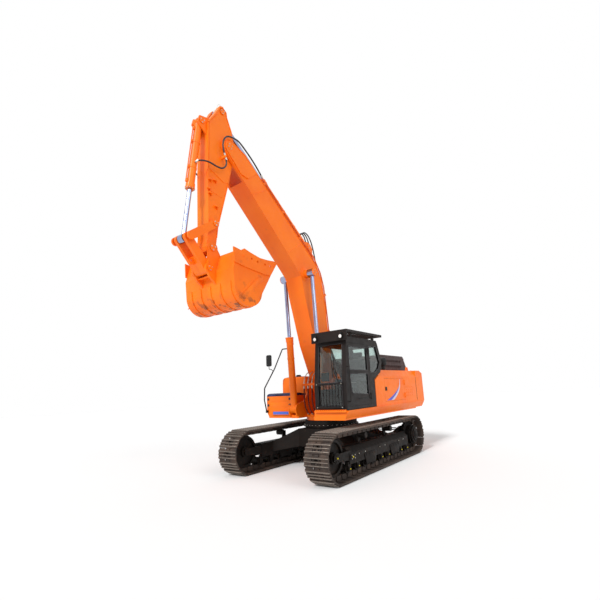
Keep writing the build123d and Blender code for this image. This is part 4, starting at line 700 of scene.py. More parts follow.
def shoeUnit():
    # local x runs along the chain, local z points outwards from the pitch line (downwards on the bottom run)
    shape = bmesh.new()
    half, wide, hole = shoe["length"] / 2, shoe["width"] / 2, shoe["holeHalf"]
    base, tip = shoe["barBase"] / 2, shoe["barTip"] / 2
    gapLow, gapHigh = base, shoe["barPitch"] - base
    for low, high in (((-half, -wide), (gapLow, wide)), ((gapHigh, -wide), (half, wide)),
                      ((gapLow, -wide), (gapHigh, -hole)), ((gapLow, hole), (gapHigh, wide))):
        addBox(shape, (*low, shoe["inner"]), (*high, shoe["outer"]))
    root = shoe["outer"] - shoe["sink"]
    near = [(-base, root), (-tip, shoe["tip"]), (tip, shoe["tip"]), (base, root)]
    for centre in (-shoe["barPitch"], 0.0, shoe["barPitch"]):
        rows = []
        for y, drop in ((-wide, shoe["chamfer"]), (-wide + shoe["corner"], 0.0), (wide - shoe["corner"], 0.0),
                        (wide, shoe["chamfer"])):
            rows.append([shape.verts.new((centre + a, y, b - (drop if b > shoe["outer"] else 0.0))) for a, b in near])
        for first, second in zip(rows, rows[1:]):
            for i in range(len(near)):
                j = (i + 1) % len(near)
                shape.faces.new((first[i], first[j], second[j], second[i]))
        shape.faces.new(rows[0])
        shape.faces.new(rows[-1][::-1])
    # lip that laps under the next shoe and keeps the wrap closed
    for low, high in lip["y"]:
        near, far = [[(half + x, y, shoe["inner"] + z)
                      for y, z in ((low, below), (high, below), (high, above), (low, above))]
                     for x, below, above in lip["ends"]]
        addCorners(shape, near, far)
    return shape


def linkUnit():
    # one link pair, its plates cranked past each other
    shape = bmesh.new()
    reach, corner = place["pitch"] / 2 + link["past"], link["corner"]
    for side in (-1, 1):
        for (start, end), (low, high) in zip(((-reach, link["lap"]), (-link["lap"], reach)), link["plates"]):
            outline = [(start, -link["startHalf"]), (start + corner, link["low"]), (end - corner, link["low"]),
                       (end, -link["endHalf"]), (end, link["endHalf"]), (end - corner, link["high"]),
                       (start + corner, link["high"]), (start, link["startHalf"])]
            addPrism(shape, outline, side * low, side * high)
    return shape


def shoeBolts(y):
    points, facings = [], []
    for x, z, heading in chain:
        out = Vector((math.sin(heading), 0, -math.cos(heading)))
        along = Vector((math.cos(heading), 0, math.sin(heading)))
        for a in (-shoe["boltX"], shoe["boltX"]):
            for b in shoe["boltY"]:
                for side in (-1, 1):
                    lift = out * (shoe["outer"] + shoe["boltLift"])
                    points.append(Vector((x, y + side * b, z)) + along * a + lift)
                    facings.append(out)
    return points, facings


for side, sign in sides:
    y = sign * place["trackY"]
    points = [(x, y, z) for x, z, heading in chain]
    angles = [(math.pi, -heading, 0.0) for x, z, heading in chain]
    belt = copies("trackShoes" + side, fromBmesh("shoeUnit", shoeUnit()), points, angles, "trackSteel", "undercarriage")
    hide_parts("track_" + side.lower())
    copies("trackLinks" + side, fromBmesh("linkUnit", linkUnit()), points, angles, "trackSteel", "undercarriage")
    bolts("trackBolts" + side, *shoeBolts(y), shoe["boltSize"], "blackChassis", "undercarriage")
print("tracks made")

# undercarriage: covers, caps, guards and bolt circles; distances across are from the track's middle
under = {
    "circles": ((0.154, 0.236, 24, 0.013), (0.219, 0.185, 12, 0.015), (0.249, 0.09, 3, 0.018), (0.039, 0.32, 23, 0.013)),
    "driveCap": [(0.105, 0), (0.105, 0.012), (0.085, 0.022), (0.05, 0.026), (0.05, 0.038)],
    "idlerCap": [(0.11, 0), (0.11, 0.014), (0.095, 0.022), (0.03, 0.022)],
    "rollerCap": [(0.052, 0), (0.052, 0.014), (0.038, 0.022), (0.016, 0.022)],
    "rollerGrease": [(0.014, 0), (0.014, 0.008), (0.008, 0.014)],
    "grease": [(0.017, 0), (0.017, 0.01), (0.009, 0.016)],
    "guardX": (0.62, -0.72), "guardBolts": (-0.2, -0.07, 0.07, 0.2), "guardFace": (0.1805, 0.196),
    "guard": ((-0.30, 0.42), (-0.26, 0.45), (0.26, 0.45), (0.30, 0.42), (0.22, 0.21), (-0.22, 0.21)),
    "coverX": (1.02, 0.0, -1.12), "coverFace": (0.1795, 0.189),
    "cover": ((-0.17, 0.475), (-0.15, 0.515), (0.15, 0.515), (0.17, 0.475), (0.17, 0.46), (-0.17, 0.46)),
    "adjuster": ((1.32, 0.40), (1.32, 0.515), (1.50, 0.515), (1.54, 0.47), (1.54, 0.40)), "adjusterFace": (0.1795, 0.192),
    "rollers": 9, "rollerX": (1.56, -1.53), "seamX": 0.9, "seamHalf": 0.26, "seamZ": (0.412, 0.63), "seamY": 1.113,
    "ringBolts": (1.014, 0.722, 40), "bellyHalf": 0.36, "bellyZ": (0.488, 0.501), "bellyBolts": 0.32,
}
for side, sign in sides:
    y, wheelX, wheelZ = sign * place["trackY"], place["wheelX"], place["wheelZ"]
    axis = (0, sign, 0)
    for out, radius, count, size in under["circles"]:
        boltRing("undercarriage", "blackChassis", size, (-wheelX, y + sign * out, wheelZ), axis, radius, count)
    parts = [(addTurned, under["driveCap"], (-wheelX, y + sign * 0.245, wheelZ), axis, 40),
             (addTurned, under["idlerCap"], (wheelX, y + sign * 0.17, wheelZ), axis, 36)]
    # chain guides under the frame, service covers on its side and the track adjuster's cover
    parts += [(addPrism, [(x + a, z) for a, z in under["guard"]], *[y + way * face for face in under["guardFace"]])
              for x in under["guardX"] for way in (-1, 1)]
    parts += [(addPrism, [(x + a, z) for a, z in under["cover"]], *[y + sign * face for face in under["coverFace"]])
              for x in under["coverX"]]
    parts.append((addPrism, under["adjuster"], *[y + sign * face for face in under["adjusterFace"]]))
    solidPiece("frameCovers" + side, "blackChassis", "undercarriage", parts, 0.004)
    for x in under["guardX"]:
        for way in (-1, 1):
            points = [(x + a, y + way * 0.199, 0.41) for a in under["guardBolts"]]
            addBolts("undercarriage", "blackChassis", 0.015, points, (0, way, 0))
    points = [(x + a, y + sign * 0.192, 0.4875) for x in under["coverX"] for a in (-0.145, 0.145)]
    points += [(x, y + sign * 0.195, z) for x in (1.35, 1.47) for z in (0.425, 0.49)]
    addBolts("undercarriage", "zincSteel", 0.009, points, axis)
    boltRing("undercarriage", "blackChassis", 0.013, (wheelX, y + sign * 0.196, wheelZ), axis, 0.072, 6)
    # rollers' end caps and the yellow caps on their grease points
    first, last = under["rollerX"]
    rollers = [(first + (last - first) * n / (under["rollers"] - 1), place["rollerZ"] - 0.005)
               for n in range(under["rollers"])]
    caps = [(addTurned, under["rollerCap"], (x, y + sign * 0.16, z), axis, 24) for x, z in rollers]
    grease = [(addTurned, under["rollerGrease"], (x, y + sign * 0.182, z), axis, 14) for x, z in rollers]
    grease += [(addTurned, under["grease"], (x, y + sign * 0.192, z), axis, 14)
               for x, z in ((1.43, 0.457), (wheelX, wheelZ))]
    solidPiece("rollerCaps" + side, "blackChassis", "undercarriage", caps)
    solidPiece("greaseCaps" + side, "yellowCap", "undercarriage", grease)
    # seam where a leg meets the frame
    for end, x in (("Rear", -under["seamX"]), ("Front", under["seamX"])):
        low, high = [(x + way * under["seamHalf"], z) for way, z in zip((-1, 1), under["seamZ"])]
        loop = loopAt(1, sign * under["seamY"], low, high)
        solidPiece("legSeam" + side + end, "blackChassis", "undercarriage",
                   [(addFrame, loop, 0.016, 0.016, (0, 1, 0))], 0.005)
ringZ, radius, count = under["ringBolts"]
boltRing("undercarriage", "zincSteel", 0.012, (0, 0, ringZ), (0, 0, 1), radius, count)
half, (low, high), reach = under["bellyHalf"], under["bellyZ"], under["bellyBolts"]
solidPiece("bellyCover", "blackChassis", "undercarriage", [(addBox, (-half, -half, low), (half, half, high))], 0.004)
addBolts("undercarriage", "zincSteel", 0.012,
         [(x, y, low - 0.004) for x in (-reach, 0.0, reach) for y in (-reach, reach)], (0, 0, -1))
print("undercarriage dressed")

# cab: seals round the panes, by plane in y, body, and corners in x and z
seal = {"width": 0.016, "height": 0.012, "bevel": 0.003}
panes = {
    "rearSideSeal": (place["cabLeft"], "upper",
                     ((0.31, 2.26), (0.31, 2.94), (-0.07, 2.94), (-0.23, 2.54), (-0.13, 2.37), (0.02, 2.29))),
    "rightSideSeal": (place["cabRight"], "upper",
                      ((1.33, 1.90), (1.33, 2.94), (-0.07, 2.94), (-0.23, 2.54), (-0.13, 2.37), (0.06, 2.28), (0.24, 2.18),
                       (0.24, 1.90))),
    "doorUpperSeal": (place["cabLeft"], "cab_door", ((0.465, 2.33), (1.325, 2.33), (1.325, 2.88), (0.465, 2.88))),
    "doorLowerSeal": (place["cabLeft"], "cab_door",
                      ((0.465, 1.75), (1.265, 1.80), (1.325, 2.20), (1.295, 2.24), (0.495, 2.25), (0.465, 2.21))),
}
screen = {"x": 1.52, "foldZ": 1.98, "lean": 0.12, "rise": 1.06, "y": (0.71, 1.37), "upper": (2.05, 2.94),
          "lower": (1.53, 2.01)}


def sealPiece(name, corners, up, body):
    parts = [(addFrame, corners, seal["width"], seal["height"], up)]
    solidPiece(name, "rubber", body, parts, seal["bevel"])


for name, (y, body, corners) in panes.items():
    sealPiece(name, [(x, y, z) for x, z in corners], (0, 1, 0), body)
nearY, farY = screen["y"]
corners = [(screen["x"] - screen["lean"] * (z - screen["foldZ"]) / screen["rise"], y, z)
           for z, ys in zip(screen["upper"], ((nearY, farY), (farY, nearY))) for y in ys]
sealPiece("windscreenSeal", corners, (screen["rise"], 0, screen["lean"]), "upper")
low, high = screen["lower"]
sealPiece("lowerScreenSeal", loopAt(0, screen["x"], (nearY, low), (farY, high)), (1, 0, 0), "upper")

# door handle in its dish with its lock, and the pull bar below
solidPiece("doorHandle", "blackPlastic", "cab_door", [
    (addTurned, [(0.055, 0), (0.055, 0.006), (0.045, 0.010), (0.040, 0.004)], (1.36, 1.48, 2.285), (0, 1, 0), 24),
    (addBar, (1.335, 1.496, 2.31), (1.335, 1.496, 2.24), 0.014, 0.018, (0, 1, 0)),
    (addBar, (1.335, 1.483, 2.305), (1.335, 1.498, 2.305), 0.014, 0.014),
    (addBar, (0.52, 1.487, 1.66), (0.98, 1.487, 1.66), 0.012, 0.022),
], 0.003)
# grab rail on the front pillar
tube("cabGrabRail", [(1.452, 1.478, 1.62), (1.452, 1.535, 1.62), (1.452, 1.545, 1.66), (1.452, 1.545, 1.9),
                     (1.444, 1.545, 2.35), (1.442, 1.535, 2.40), (1.440, 1.478, 2.40)], 0.012, "blackCab", "upper")
# wiper: arm and blade on the upper screen
solidPiece("wiper", "blackPlastic", "upper", [
    (addTurned, [(0.025, 0), (0.025, 0.018), (0.012, 0.028)], (1.512, 1.30, 2.03), (1, 0, 0.12), 20),
    (addBar, (1.535, 1.30, 2.035), (1.492, 1.10, 2.42), 0.016, 0.010, (1, 0, 0)),
    (addBar, (1.508, 1.12, 2.17), (1.462, 1.08, 2.66), 0.012, 0.016, (1, 0, 0)),
], 0.002)
# lamps: bezels, lenses and the lamp in the deck's front
lamp = {"x": 1.6003, "y": (0.73, 1.45), "z": 3.09, "stayX": 1.56, "stayZ": (3.135, 3.185),
        "bezel": [(0.049, -0.03), (0.049, 0.006), (0.041, 0.006), (0.041, 0.001)],
        "lens": [(0.041, 0), (0.040, 0.004), (0.025, 0.0075), (0.008, 0.0085)]}
bezels, lenses = [], []
for y in lamp["y"]:
    centre = (lamp["x"], y, lamp["z"])
    low, high = [(lamp["stayX"], y, z) for z in lamp["stayZ"]]
    bezels += [(addTurned, lamp["bezel"], centre, (1, 0, 0), 32), (addBar, low, high, 0.02, 0.05, (0, 1, 0))]
    lenses.append((addTurned, lamp["lens"], centre, (1, 0, 0), 32))
solidPiece("lampBezels", "blackPlastic", "upper", bezels)
solidPiece("lampLenses", "clearLens", "upper", lenses)
solidPiece("deckLampLens", "blueLens", "upper", [(addBox, (0.9755, -1.22, 1.312), (0.986, -0.68, 1.388))], 0.004, 3)
solidPiece("deckLampFrame", "orangeEnamel", "upper",
           [(addFrame, loopAt(0, 0.978, (-1.236, 1.304), (-0.664, 1.396)), 0.014, 0.022, (1, 0, 0))], 0.003)
# step plate with teeth before the cab
step = {"low": (1.5305, 0.62, 1.40), "high": (1.60, 1.47, 1.425), "teeth": 15, "firstY": 0.65, "pitch": 0.057,
        "foot": (1.535, 1.595, 0.016, 1.424), "crest": (1.54, 1.598, 0.011, 1.455)}
parts = [(addBox, step["low"], step["high"])]
for number in range(step["teeth"]):
    y = step["firstY"] + step["pitch"] * number
    parts.append((addCorners, *[loopAt(2, z, (low, y - half), (high, y + half))
                                for low, high, half, z in (step["foot"], step["crest"])]))
solidPiece("frontStep", "orangeEnamel", "upper", parts, 0.002)
addBolts("upper", "zincSteel", 0.008, [(1.5715, y, z) for y in (0.70, 1.38) for z in (1.505, 2.025)], (1, 0, 0))
addBolts("upper", "blackCab", 0.009, [(1.5475, 0.65 + 0.145 * n, z) for n in range(7) for z in (3.02, 3.225)], (1, 0, 0))


# driver's seat: crowned pads over the plain seat
def pad(name, low, high, crown, lean=0.0, pivot=(0.0, 0.0)):
    # a pad with pulled-in sides: a box whose faces swell towards their middles
    shape = bmesh.new()
    bmesh.ops.create_cube(shape, size=2.0)
    bmesh.ops.subdivide_edges(shape, edges=shape.edges[:], cuts=5, use_grid_fill=True)
    middle = Vector([(a + b) / 2 for a, b in zip(low, high)])
    half = [(b - a) / 2 - crown * 0.35 for a, b in zip(low, high)]
    for vert in shape.verts:
        c = vert.co.copy()
        swell = [(1 - c[(i + 1) % 3] ** 2) * (1 - c[(i + 2) % 3] ** 2) * crown for i in range(3)]
        point = middle + Vector([c[i] * half[i] + (c[i] * swell[i] if abs(c[i]) > 0.99 else 0) for i in range(3)])
        dx, dz = point.x - pivot[0], point.z - pivot[1]
        vert.co = (pivot[0] + dx * math.cos(lean) - dz * math.sin(lean), point.y,
                   pivot[1] + dx * math.sin(lean) + dz * math.cos(lean))
    piece = fromBmesh(name, shape, smooth=False)
    smooth = piece.modifiers.new("round", "SUBSURF")
    smooth.levels = smooth.render_levels = 2
    piece = plainMesh(piece, name)
    softened(piece, 180)
    settle(piece, "seatCloth", "upper")


backLean = (0.19, (0.30, 2.02))  # angle in radians, and the hinge's x and z
pads = {
    "seatCushion": ((0.27, 0.80, 1.90), (0.755, 1.28, 2.045), 0.022),
    "seatBack": ((0.235, 0.81, 2.02), (0.375, 1.27, 2.63), 0.022, *backLean),
    "headRest": ((0.225, 0.92, 2.66), (0.325, 1.16, 2.83), 0.015, *backLean),
    "armRestLeft": ((0.38, 1.30, 2.08), (0.66, 1.39, 2.14), 0.010),
    "armRestRight": ((0.38, 0.69, 2.08), (0.66, 0.78, 2.14), 0.010),
}
for name, sizes in pads.items():
    pad(name, *sizes)
solidPiece("screenGlass", "blueLens", "upper", [(addBox, (1.296, 0.69, 2.11), (1.3005, 0.86, 2.27))], 0.002)
boot = [(0.045, 0), (0.038, 0.02), (0.040, 0.03), (0.028, 0.05), (0.030, 0.06), (0.016, 0.085)]
solidPiece("leverBoots", "rubber", "upper", [(addTurned, boot, (0.725, y, 2.075), (0, 0, 1), 20) for y in (0.73, 1.35)])
mat = {"low": (0.75, 0.67, 1.5003), "high": (1.44, 1.41, 1.512), "ribs": 14, "firstX": 0.77, "pitch": 0.048, "rib": 0.015}
parts = [(addBox, mat["low"], mat["high"])]
for number in range(mat["ribs"]):
    x = mat["firstX"] + mat["pitch"] * number
    parts.append((addBox, (x, 0.69, 1.511), (x + mat["rib"], 1.39, 1.516)))
solidPiece("floorMat", "rubber", "upper", parts, 0.001, 1)
solidPiece("roofSeam", "blackCab", "upper",
           [(addFrame, loopAt(2, 3.1035, (0.02, 0.62), (1.28, 1.46)), 0.03, 0.012, (0, 0, 1))], 0.003)
# mirror glass with round corners, which faces back towards the driver
glass = {"x": (0.8538, 0.8515), "y": -1.44, "z": 2.785, "cornerY": 0.05, "cornerZ": 0.115, "round": 0.03}
corners = []
for quarter, (signY, signZ) in enumerate(((1, 1), (-1, 1), (-1, -1), (1, -1))):
    for part in range(5):
        turn = math.radians(90 * quarter + 22.5 * part)
        corners.append((glass["y"] + signY * glass["cornerY"] + glass["round"] * math.cos(turn),
                        glass["z"] + signZ * glass["cornerZ"] + glass["round"] * math.sin(turn)))
faces = [[(x, y, z) for y, z in corners] for x in glass["x"]]
solidPiece("mirrorGlass", "mirrorGlass", "upper", [(addCorners, *faces)])
print("cab dressed")

# toolbox: catches, pressed panels on its front, and the lid's studs and grip
toolbox = {"catchY": (-1.425, -0.655), "catchZ": (1.555, 1.715), "catchX": (0.9395, 0.953), "catchHalf": (0.032, 0.030),
           "panelX": (0.9385, 0.9445), "panelY": (-1.36, -0.72), "panelZ": ((1.50, 1.62), (1.645, 1.765)),
           "gripY": (-1.16, -0.92), "gripZ": 1.815, "studCorner": (0.64, -1.44, 1.8622)}
parts = []
for y in toolbox["catchY"]:
    for z in toolbox["catchZ"]:
        (near, far), (halfY, halfZ) = toolbox["catchX"], toolbox["catchHalf"]
        parts += [(addBox, (near, y - halfY, z - halfZ), (far, y + halfY, z + halfZ)),
                  (addBar, (0.958, y - 0.018, z), (0.958, y + 0.018, z), 0.010, 0.014)]
solidPiece("toolboxCatches", "rubber", "upper", parts, 0.004)
(near, far), (low, high) = toolbox["panelX"], toolbox["panelY"]
solidPiece("toolboxPanels", "orangeEnamel", "upper",
           [(addBox, (near, low, bottom), (far, high, top)) for bottom, top in toolbox["panelZ"]], 0.004)
treadStuds("lidStuds", [(0.014, 0), (0.010, 0.004), (0.004, 0.005)], 8,
           studGrid(toolbox["studCorner"], (0.036, 0.037), (6, 22), (0.018, 0.0)), "navyDeck", "toolbox_lid")
low, high = [(0.943, y, toolbox["gripZ"]) for y in toolbox["gripY"]]
solidPiece("lidGrip", "blackPlastic", "toolbox_lid", [(addBar, low, high, 0.012, 0.016)] + [
    (addBar, (0.930, y, toolbox["gripZ"]), (0.946, y, toolbox["gripZ"]), 0.014, 0.014)
    for y in toolbox["gripY"]], 0.003)

# tanks: caps and manhole cover, tread plates with studs, level gauge and the panels' seams
tank = {"top": 2.3003, "tread": 0.004, "treadX": ((-0.33, -0.10), (0.15, 0.235)), "treadY": (-1.34, -0.66),
        "fuelCap": (0.06, -1.02), "oilCap": (-0.55, -0.95), "cover": (-0.82, -0.98), "coverBolts": (0.10, 8),
        "face": -1.4805, "seamX": ((-0.36, 0.24), (-0.93, -0.42)), "seamZ": (1.50, 2.14)}
tankCaps = (
    ("fuelCap", 32, [(0.085, 0), (0.085, 0.02), (0.070, 0.03), (0.070, 0.055), (0.055, 0.062)]),
    ("oilCap", 28, [(0.05, 0), (0.05, 0.05), (0.062, 0.055), (0.062, 0.10), (0.045, 0.11)]),
    ("cover", 36, [(0.12, 0), (0.12, 0.018), (0.11, 0.022)]),
)
solidPiece("tankCaps", "blackChassis", "upper",
           [(addTurned, profile, (*tank[key], tank["top"]), (0, 0, 1), count) for key, count, profile in tankCaps])
boltRing("upper", "zincSteel", 0.010, (*tank["cover"], tank["top"] + 0.026), (0, 0, 1), *tank["coverBolts"])
treadTop = tank["top"] + tank["tread"]
low, high = tank["treadY"]
flatStud = [(0.013, 0), (0.009, 0.003), (0.003, 0.0042)]
solidPiece("tankTread", "navyDeck", "upper",
           [(addBox, (near, low, tank["top"]), (far, high, treadTop)) for near, far in tank["treadX"]], 0.001, 1)
points = studGrid((-0.315, -1.325, treadTop), (0.033, 0.03), (7, 22), (0.016, 0.0))
points += studGrid((0.17, -1.325, treadTop), (0.033, 0.03), (2, 22))
treadStuds("tankStuds", flatStud, 6, points, "navyDeck", "upper")
solidPiece("levelGauge", "blackPlastic", "upper", [(addBox, (-0.99, -1.4885, 1.86), (-0.955, -1.479, 2.06))], 0.004)
low, high = tank["seamZ"]
loops = [loopAt(1, tank["face"], (near, low), (far, high)) for near, far in tank["seamX"]]
solidPiece("tankSeams", "orangeEnamel", "upper", [(addFrame, loop, 0.014, 0.008, (0, 1, 0)) for loop in loops], 0.003)

# side panels: latches, seams, louvres, and the blue and silver stripe on the left door
sideY = place["sideY"]
panel = {"latches": (("leftLatch", "side_door_left", -0.50, 1), ("rightLatch", "pump_door_right", -1.27, -1)),
         "latchPlate": (0.055, 0.006, 1.80, 1.90), "latchGrip": (0.038, 0.016, 1.835, 1.865), "lift": 0.0003,
         "seamX": -2.62, "seamZ": (1.47, 2.15), "louvreX": (-2.30, -2.16, -2.02, -1.88),
         "louvreZ": (1.62, 1.70, 1.78, 1.86),
         "louvre": ((-0.055, 0), (-0.045, 0.022), (0.045, 0.022), (0.055, 0))}
for name, body, x, sign in panel["latches"]:
    face = sign * (sideY + panel["lift"])
    parts = [(addBox, (x - half, face, low), (x + half, face + sign * thick, high))
             for half, thick, low, high in (panel["latchPlate"], panel["latchGrip"])]
    parts.append((addTurned, [(0.014, 0), (0.014, 0.009), (0.009, 0.012)], (x, face, 1.885), (0, sign, 0), 16))
    solidPiece(name, "blackPlastic", body, parts, 0.004)
parts = []
for y in (sideY + 0.0008, -sideY - 0.0008):
    low, high = [(panel["seamX"], y, z) for z in panel["seamZ"]]
    parts.append((addBar, low, high, 0.012, 0.006, (0, 1, 0)))
solidPiece("housingSeams", "blackPlastic", "upper", parts, 0.002)
solidPiece("sideLouvres", "orangeEnamel", "upper", [
    (addPrism, [(x + a, z + b) for a, b in panel["louvre"]], sideY + panel["lift"], sideY + 0.011)
    for x in panel["louvreX"] for z in panel["louvreZ"]], 0.004)

stripe = {"x": (-1.44, -0.93), "z": (2.09, 1.545), "bow": 0.24, "bowX": 0.6, "bowZ": 0.15, "slant": 0.15, "swell": 1.3,
          "silver": (0.02, 0.17), "blue": (0.006, 0.27), "blueFrom": 0.30, "blueOff": 0.042, "blueRun": 0.11,
          "steps": 22, "lift": 0.0004, "film": 0.0006}


def filmBand(shape, first, widths, off, run):
    # tapered band along a bowed line, widest at its foot
    near, far = [], []
    for number in range(stripe["steps"] + 1):
        t = first + (1 - first) * number / stripe["steps"]
        bow = stripe["bow"] * math.sin(math.pi * t)
        x = stripe["x"][0] + (stripe["x"][1] - stripe["x"][0]) * t - bow * stripe["bowX"] + off + run * t
        z = stripe["z"][0] + (stripe["z"][1] - stripe["z"][0]) * t - bow * stripe["bowZ"]
        wide = widths[0] + (widths[1] - widths[0]) * ((t - first) / (1 - first)) ** stripe["swell"]
        near.append((x, z))
        far.append((x + wide, z + wide * stripe["slant"] * (1 - t)))
    y = sideY + stripe["lift"]
    rows = [[shape.verts.new((a, depth, b)) for a, b in line]
            for line in (near, far) for depth in (y, y + stripe["film"])]
    for i in range(stripe["steps"]):
        for a, b in ((0, 1), (1, 3), (3, 2), (2, 0)):
            shape.faces.new((rows[a][i], rows[a][i + 1], rows[b][i + 1], rows[b][i]))
    for i in (0, -1):
        shape.faces.new((rows[0][i], rows[1][i], rows[3][i], rows[2][i]))


solidPiece("silverStripe", "silverFilm", "side_door_left", [(filmBand, 0.0, stripe["silver"], 0.0, 0.0)])
solidPiece("blueStripe", "blueFilm", "side_door_left",
           [(filmBand, stripe["blueFrom"], stripe["blue"], stripe["blueOff"], stripe["blueRun"])])
# air cleaner's bowl beside the hood, with ribs
cleaner = {"x": -1.16, "y": 1.13, "z": 2.43, "ribZ": (2.52, 2.56, 2.60, 2.64),
           "bowl": [(0.055, -0.08), (0.055, 0.06), (0.095, 0.07), (0.10, 0.10), (0.10, 0.24), (0.085, 0.28), (0.04, 0.30)],
           "rib": [(0.098, 0), (0.106, 0.004), (0.106, 0.012), (0.098, 0.016)]}
solidPiece("airCleaner", "blackPlastic", "upper", [
    (addTurned, profile, (cleaner["x"], cleaner["y"], z), (0, 0, 1), 36)
    for profile, z in [(cleaner["bowl"], cleaner["z"])] + [(cleaner["rib"], z) for z in cleaner["ribZ"]]])

# hood: top tread with studs, seam ribs on its sides and the handle at its tail
hood = {"top": place["hoodTop"] + 0.0003, "tread": 0.004, "treadY": (-0.62, 0.62), "treadHalf": 0.22,
        "treadX": (-2.86, -1.50), "sideY": 0.9803, "ribX": (-3.02, -1.43), "ribZ": (2.42, 2.78)}
near, far = hood["treadX"]
treadTop = hood["top"] + hood["tread"]
solidPiece("hoodTread", "brownHood", "engine_hood", [
    (addBox, (near, y - hood["treadHalf"], hood["top"]), (far, y + hood["treadHalf"], treadTop)) for y in hood["treadY"]],
    0.001, 1)
points = [point for y in hood["treadY"] for point in
          studGrid((-2.84, y - 0.2, treadTop), (0.045, 0.04), (30, 10), (0.0, 0.02))]
treadStuds("hoodStuds", flatStud, 6, points, "brownHood", "engine_hood")
parts = []
for y in (-hood["sideY"], hood["sideY"]):
    parts += [(addBar, (x, y, hood["ribZ"][0]), (x, y, hood["ribZ"][1]), 0.014, 0.010, (0, 1, 0)) for x in hood["ribX"]]
    parts += [(addBar, (-2.98, y, 2.785), (-1.40, y, 2.785), 0.012, 0.010, (0, 1, 0)),
              (addBar, (-3.12, y, 2.405), (-1.36, y, 2.405), 0.014, 0.012, (0, 1, 0))]
solidPiece("hoodRibs", "brownHood", "engine_hood", parts, 0.003)
solidPiece("hoodHandle", "blackPlastic", "engine_hood",
           [(addBar, (-3.204, -0.10, 2.52), (-3.204, 0.10, 2.52), 0.03, 0.022, (1, 0, 0))], 0.005)

# counterweight: casting seams round its tail, tail lamps, and a bolt by each lifting lug
weight = {"radius": 3.6, "seamZ": (1.60, 2.02), "seamY": 1.20, "seamSteps": 24, "seamStep": 0.1, "lampY": (-1.12, 1.12),
          "lampZ": 1.81, "rimHalf": 0.10, "lensHalf": 0.088, "lensOut": 0.006}


def tailPoint(y, z):
    return Vector((-math.sqrt(weight["radius"] ** 2 - y * y), y, z))


parts = []
for z in weight["seamZ"]:
    ys = [-weight["seamY"] + weight["seamStep"] * n for n in range(weight["seamSteps"] + 1)]
    parts += [(addBar, tailPoint(a, z), tailPoint(b, z), 0.012, 0.010, (1, 0, 0)) for a, b in zip(ys, ys[1:])]
solidPiece("weightSeams", "orangeEnamel", "upper", parts, 0.002, 1)
rims, lamps = [], []
for y in weight["lampY"]:
    centre, out = tailPoint(y, weight["lampZ"]), tailPoint(y, 0).normalized()
    across = out.cross(Vector((0, 0, 1)))
    rims.append((addBar, centre - across * weight["rimHalf"], centre + across * weight["rimHalf"], 0.028, 0.09))
    centre = centre + out * weight["lensOut"]
    lamps.append((addBar, centre - across * weight["lensHalf"], centre + across * weight["lensHalf"], 0.028, 0.075))
solidPiece("tailLampRims", "blackPlastic", "upper", rims, 0.006, 3)
solidPiece("tailLampLenses", "redLens", "upper", lamps, 0.006, 3)
addBolts("upper", "orangeEnamel", 0.022, [(-2.72, y, 2.352) for y in (-1.32, 1.32)], (0, 0, 1))
print("body dressed")

# pins: keeper plates and caps at each joint of the front
pinCaps = [
    # body, point, outer face's y, cap radius, bolts
    ("upper", place["foot"], 0.39, 0.085, 4), ("boom", boomTip, 0.278, 0.085, 4), ("boom", stickBase, 0.145, 0.072, 3),
    ("arm", bucketPin, 0.241, 0.07, 3), ("arm", linkPivot, 0.287, 0.065, 3), ("arm", curlBase, 0.130, 0.068, 3),
    ("arm", stickPin, 0.18, 0.068, 3), ("bucket", leverPin, 0.241, 0.062, 3), ("upper", place["liftBase"], 0.585, 0.075, 4),
]
cap = {"sink": 0.002, "thick": 0.006, "crown": 0.010, "hub": 0.02, "boltLift": 0.0115, "boltShare": 0.68, "boltSize": 0.010}
caps = {}
for body, point, face, radius, count in pinCaps:
    profile = [(radius, 0), (radius, cap["thick"]), (radius - 0.006, cap["crown"]), (cap["hub"], cap["crown"])]
    for way in (-1, 1):
        caps.setdefault(body, []).append((addTurned, profile, at(point, way * (face - cap["sink"])), (0, way, 0), 36))
        boltRing(body, "zincSteel", cap["boltSize"], at(point, way * (face + cap["boltLift"])), (0, way, 0),
                 radius * cap["boltShare"], count, 0.5)
for body, parts in caps.items():
    solidPiece("pinCaps_" + body, "orangeEnamel", body, parts)
parts = []
for way in (-1, 1):
    cover, heads = [at(liftPin, way * (place["liftLane"] + out)) for out in (0.0895, 0.108)]
    parts.append((addTurned, [(0.105, 0), (0.105, 0.012), (0.09, 0.016), (0.03, 0.016)], cover, (0, way, 0), 36))
    boltRing("boom_cylinder_rods", "zincSteel", cap["boltSize"], heads, (0, way, 0), 0.06, 4)
solidPiece("liftCaps", "orangeEnamel", "boom_cylinder_rods", parts)

